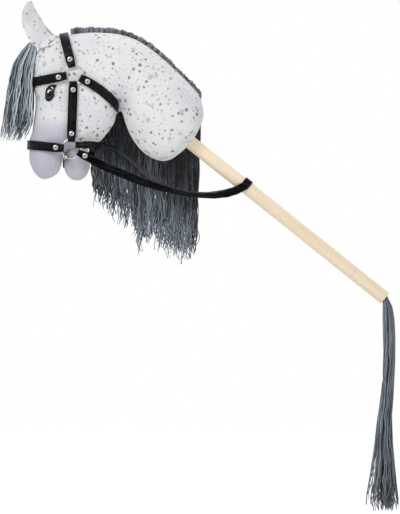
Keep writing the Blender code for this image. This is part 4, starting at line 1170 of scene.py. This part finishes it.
def mane_paths(rng):
    paths = []
    for locks, count, radius, near, more, darkest, palest, lifts, wild in MANE_LAYERS:
        for lock in range(locks):
            centre = (lock + 0.5) / locks
            middle = HEM_LEFT + (HEM_RIGHT - HEM_LEFT) * centre + rng.uniform(-4.0, 4.0)
            phase = rng.uniform(0.0, 2.0 * math.pi)
            pitch = rng.uniform(90.0, 170.0)
            swell = rng.uniform(0.8, 3.2) * wild
            lift = rng.uniform(-2.0, 8.0)
            for _ in range(count):
                share = min(max(centre + rng.uniform(-0.9, 0.9) / locks, 0.004), 0.996)
                root = polyline(CREST, share) + Vector((0.0, rng.uniform(-3.0, 6.0), 2.5)) * MM
                hem_x = HEM_LEFT + (HEM_RIGHT - HEM_LEFT) * share + rng.uniform(-2.5, 2.5)
                hem_x = min(max(hem_x, HEM_LEFT), HEM_RIGHT)
                low = along_table(HEM_LINE, hem_x)[0] + lift + rng.uniform(*lifts)
                tip_x = hem_x + (middle - hem_x) * rng.uniform(-0.9, 0.9)
                tip_x += rng.uniform(-9.0, 3.0) * wild
                tip_x = min(max(tip_x, HEM_LEFT - 1.0), HEM_RIGHT + 1.0)
                tail_end = root.z / MM - low
                waves = [(swell, pitch, phase + rng.uniform(-0.5, 0.5), 50.0),
                         (rng.uniform(0.4, 1.4) * wild, rng.uniform(34.0, 62.0),
                          rng.uniform(0.0, 6.3), 60.0),
                         (rng.uniform(0.8, 5.2) * wild, rng.uniform(24.0, 46.0),
                          rng.uniform(0.0, 6.3), tail_end - rng.uniform(45.0, 105.0))]
                waves = [(size * MM, step * MM, turn, max(begin, 40.0) * MM)
                         for size, step, turn, begin in waves]
                depth = (near + rng.uniform(0.0, more)) * MM
                tip = Vector((tip_x, 0.0, low)) * MM
                points, tones = mane_strand(root, hem_x * MM, tip, depth, waves,
                                            rng.uniform(darkest, palest))
                paths.append((points, tones, radius * rng.uniform(0.85, 1.15)))
    return paths


mane = strands("mane_strands", mane_paths(random.Random(7)), MANE_RADIUS, mane_yarn, None,
               ("mane",))
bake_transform(mane)

# %% [markdown]
# The band itself is covered by the folded ends of the yarn. They spring from the plush
# on the near side, pass over the crest and come down on the far side as a low row of
# loops, and are all that the near side shows of the mane. Copies of one loop would look
# like a zip, so each is a strand with its own height and lean.

# %% Crest loops
LOOPS = 280
LOOP_RADIUS = 1.15 * MM
LOOP_POINTS = 9
LOOP_TALL, LOOP_LOW = 8.6, 4.6
LOOP_NEAR, LOOP_FAR = -8.0 * MM, 7.5 * MM
LOOP_SINK = 0.6 * MM
LOOP_SEARCH, LOOP_MISS = 30.0, 32.0
LOOP_LUMPS = [(70.0, 1.3), (190.0, 0.6)]
LUMP_HEIGHT = 1.6
LOOP_ROUND = 0.6


def foot_of(root, up, y):
    """The point of the plush below a place over the crest, a little under its pile."""
    start = root + Vector((0.0, y, 0.0)) + up * LOOP_SEARCH * MM
    hit = head_shape.ray_cast(start, -up)[0]
    return (hit or start - up * LOOP_MISS * MM) - up * LOOP_SINK


def crest_paths(rng):
    paths = []
    for k in range(LOOPS):
        share = (k + 0.5) / LOOPS + rng.uniform(-0.4, 0.4) / LOOPS
        share = min(max(share, 0.003), 0.997)
        behind, root, ahead = (polyline(CREST, min(max(share + step, 0.0), 1.0))
                               for step in (-0.01, 0.0, 0.01))
        ahead = ahead - behind
        ahead.normalize()
        up = Vector((-ahead.z, 0.0, ahead.x))
        lump = sum(size * noise.noise(root * pitch) for pitch, size in LOOP_LUMPS)
        height = LOOP_TALL + (LOOP_LOW - LOOP_TALL) * between(share, 0.25, 0.9)
        height += (LUMP_HEIGHT * lump + LUMP_HEIGHT * between(share, 0.09, 0.03)
                   + rng.uniform(-1.2, 1.4))
        lean = rng.gauss(0.5, 3.4) * MM
        near = foot_of(root, up, LOOP_NEAR + rng.uniform(-1.2, 1.2) * MM)
        far = foot_of(root, up, LOOP_FAR)
        points = []
        for j in range(LOOP_POINTS):
            turn = math.pi * j / (LOOP_POINTS - 1)
            across = (1.0 - math.cos(turn)) / 2.0
            points.append(near.lerp(far, across)
                          + up * math.sin(turn) ** LOOP_ROUND * height * MM
                          + ahead * lean * (across - 0.5))
        paths.append((points, [rng.uniform(0.0, 0.95)] * len(points), rng.uniform(0.75, 1.25)))
    return paths


strands("crest_loops", crest_paths(random.Random(3)), LOOP_RADIUS, crest_yarn, "horse",
        ("mane_band",))

# %% [markdown]
# ### Forelock and tail
# Both are hanks that hang from one tied end. A solid hank with a yarn finish would do
# from afar, but its outline would be too clean. So the outline is given by a few widths
# at different heights, and each strand keeps its own place inside it on the way down.

# %% Hank outlines
FORELOCK = [
    # height, front, back, half width
    (329.0, -479.0, -473.0, 4.0), (322.0, -485.0, -466.0, 10.0), (314.0, -492.0, -464.5, 16.0),
    (308.0, -497.0, -465.0, 20.0), (293.0, -506.5, -467.0, 25.0), (284.0, -510.0, -468.5, 26.0),
    (262.0, -515.0, -469.5, 27.0), (252.0, -517.0, -470.5, 27.0), (242.0, -519.0, -470.0, 27.0),
    (222.0, -521.5, -470.0, 27.0), (185.0, -527.0, -472.0, 27.0), (165.0, -530.5, -479.0, 26.0),
    (146.0, -532.0, -488.0, 25.0),
]
TAIL = [
    (-141.0, 176.5, 182.5, 5.0), (-150.0, 176.5, 187.5, 7.5), (-160.0, 176.5, 192.5, 10.0),
    (-180.0, 176.0, 195.5, 14.0), (-208.0, 176.5, 197.5, 17.0), (-260.0, 177.5, 197.5, 20.0),
    (-313.0, 173.5, 194.5, 21.0), (-366.0, 166.5, 191.5, 22.0), (-419.0, 160.5, 193.5, 24.0),
    (-472.0, 152.5, 198.5, 26.0), (-518.0, 144.0, 204.0, 28.0), (-537.5, 147.0, 203.0, 28.0),
]
FACE_GAP = 0.6 * MM
IN_FRONT, BEHIND_FACE = -0.7, -0.44
SQUARENESS = 0.55
LOCK_WIDTH, LOCK_TURN = 0.28, 0.5
LOCK_DRAW, LOCK_DRAWS = 0.18, 5.0
FORELOCK_RADIUS = 1.0 * MM
TAIL_RADIUS = 1.25 * MM
# size, pitch and beginning of each wave, in mm
FORELOCK_WAVES = [(2.6, 95.0, 12.0), (1.2, 38.0, 20.0), (2.4, 30.0, 120.0)]
TAIL_WAVES = [(2.4, 120.0, 30.0), (1.0, 46.0, 40.0), (2.6, 36.0, 300.0)]


# %% Hank strands
def front_side(y, z):
    """How far forward the face reaches, or a place behind it outside its outline."""
    hit = face_shape.ray_cast(Vector((IN_FRONT, y, z)), Vector((1.0, 0.0, 0.0)))[0]
    return BEHIND_FACE if hit is None else hit.x


def boxed(part):
    """Widens a circle's cosine or sine, so that a round hank's section fills its corners."""
    return math.copysign(abs(part) ** SQUARENESS, part)


def hank_paths(rng, table, count, locks, points, tips, sizes, shades, clear=None):
    """Strands inside an outline, in locks. tips is how much shorter one may be, in mm."""
    top = max(row[0] for row in table)
    bottom = min(row[0] for row in table)
    centres = [(math.sqrt(rng.random()), rng.uniform(0.0, 2.0 * math.pi), rng.random(),
                rng.uniform(0.0, 2.0 * math.pi)) for _ in range(locks)]
    paths = []
    for k in range(count):
        spread, turn, tone, phase = centres[k % locks]
        spread = min(max(spread + rng.uniform(-LOCK_WIDTH, LOCK_WIDTH), 0.0), 1.0)
        turn += rng.uniform(-LOCK_TURN, LOCK_TURN)
        end = bottom + tips * rng.random() ** 0.8
        waves = [(size * rng.uniform(0.4, 1.0), pitch * rng.uniform(0.8, 1.25),
                  rng.uniform(0.0, 6.3), begin) for size, pitch, begin in sizes]
        path = []
        for j in range(points):
            share = j / (points - 1)
            z = top + (end - top) * share ** 1.15
            front, back, half = along_table(table, z)
            draw = 1.0 + LOCK_DRAW * math.sin(phase + share * LOCK_DRAWS) * share
            x = (front + back) / 2 + (back - front) / 2 * spread * boxed(math.cos(turn)) * draw
            y = half * spread * boxed(math.sin(turn)) * draw
            x += wavy(waves, top - z)
            y += wavy([(size, pitch * 1.1, phase + 1.5, begin)
                       for size, pitch, phase, begin in waves], top - z)
            spot = Vector((min(max(x, front), back), y, z)) * MM
            if clear:
                spot.x = min(spot.x, clear(spot.y, spot.z) - FACE_GAP)
            path.append(spot)
        shade = shades[0] + (shades[1] - shades[0]) * (0.4 * tone + 0.6 * rng.random())
        paths.append((path, [shade] * points, rng.uniform(0.75, 1.15)))
    return paths


# %% Forelock and tail
face_shape = tree_of([evaluated_mesh(head), nodes["browband"].data])
forelock_paths = hank_paths(random.Random(21), FORELOCK, 320, 40, 26, 46.0, FORELOCK_WAVES,
                            (-0.05, 1.1), front_side)
forelock = strands("forelock_strands", forelock_paths, FORELOCK_RADIUS, forelock_yarn, None,
                   ("forelock",))
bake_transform(forelock)
tail_paths = hank_paths(random.Random(5), TAIL, 150, 24, 30, 26.0, TAIL_WAVES, (0.15, 0.9))
tail = strands("tail_strands", tail_paths, TAIL_RADIUS, tail_yarn, None,
               ("tail",))
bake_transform(tail)
dress("tail_root", tail_yarn)

# %% [markdown]
# ## Mouth
# A dark thread lies on each side in the crease where the chin meets the muzzle, and
# draws the line of the mouth as painted shade in that crease. A dark stripe in the plush
# would blur with its flecks, and a thread has a clean edge and a shadow. Its path is the
# crease itself: the deepest point of the plush at each height.

# %% Mouth thread
MOUTH_X = (-422.0 * MM, -408.0 * MM)
MOUTH_PLACES = 29
MOUTH_HEIGHTS = (98.0 * MM, 117.0 * MM)
MOUTH_POINTS = 9
MOUTH_RADIUS = 1.9 * MM
MOUTH_OUT = 1.2 * MM

jaw_shape = tree_of([evaluated_mesh(head), evaluated_mesh(chin)])


def spaced(ends, count):
    return [ends[0] + (ends[1] - ends[0]) * k / (count - 1) for k in range(count)]


def crease(sign, z):
    """The point of the plush nearest to the middle plane, among places along the muzzle."""
    spots = []
    for x in spaced(MOUTH_X, MOUTH_PLACES):
        start = Vector((x, BESIDE * sign, z))
        hit = jaw_shape.ray_cast(start, Vector((0.0, -sign, 0.0)))[0]
        if hit is not None and hit.y * sign > 0.0:
            spots.append(hit + Vector((0.0, sign * MOUTH_OUT, 0.0)))
    return min(spots, key=lambda spot: abs(spot.y)) if spots else None


# painted shade: a dark thread where the crease between chin and muzzle is in shade
crease_shade_finish = material("crease_shade_thread").surface(Base_Color=(0.012, 0.012, 0.017),
                                                Roughness=0.9)
crease_shade_paths = []
for sign in (-1, 1):
    spots = [crease(sign, z) for z in spaced(MOUTH_HEIGHTS, MOUTH_POINTS)]
    line = [spot for spot in spots if spot]
    crease_shade_paths.append((line, [0.0] * len(line), 1.0))
    print("mouth, side", sign, [tuple(round(c / MM, 1) for c in spot) for spot in line])
strands("mouth_crease_shade", crease_shade_paths, MOUTH_RADIUS, crease_shade_finish, "horse")
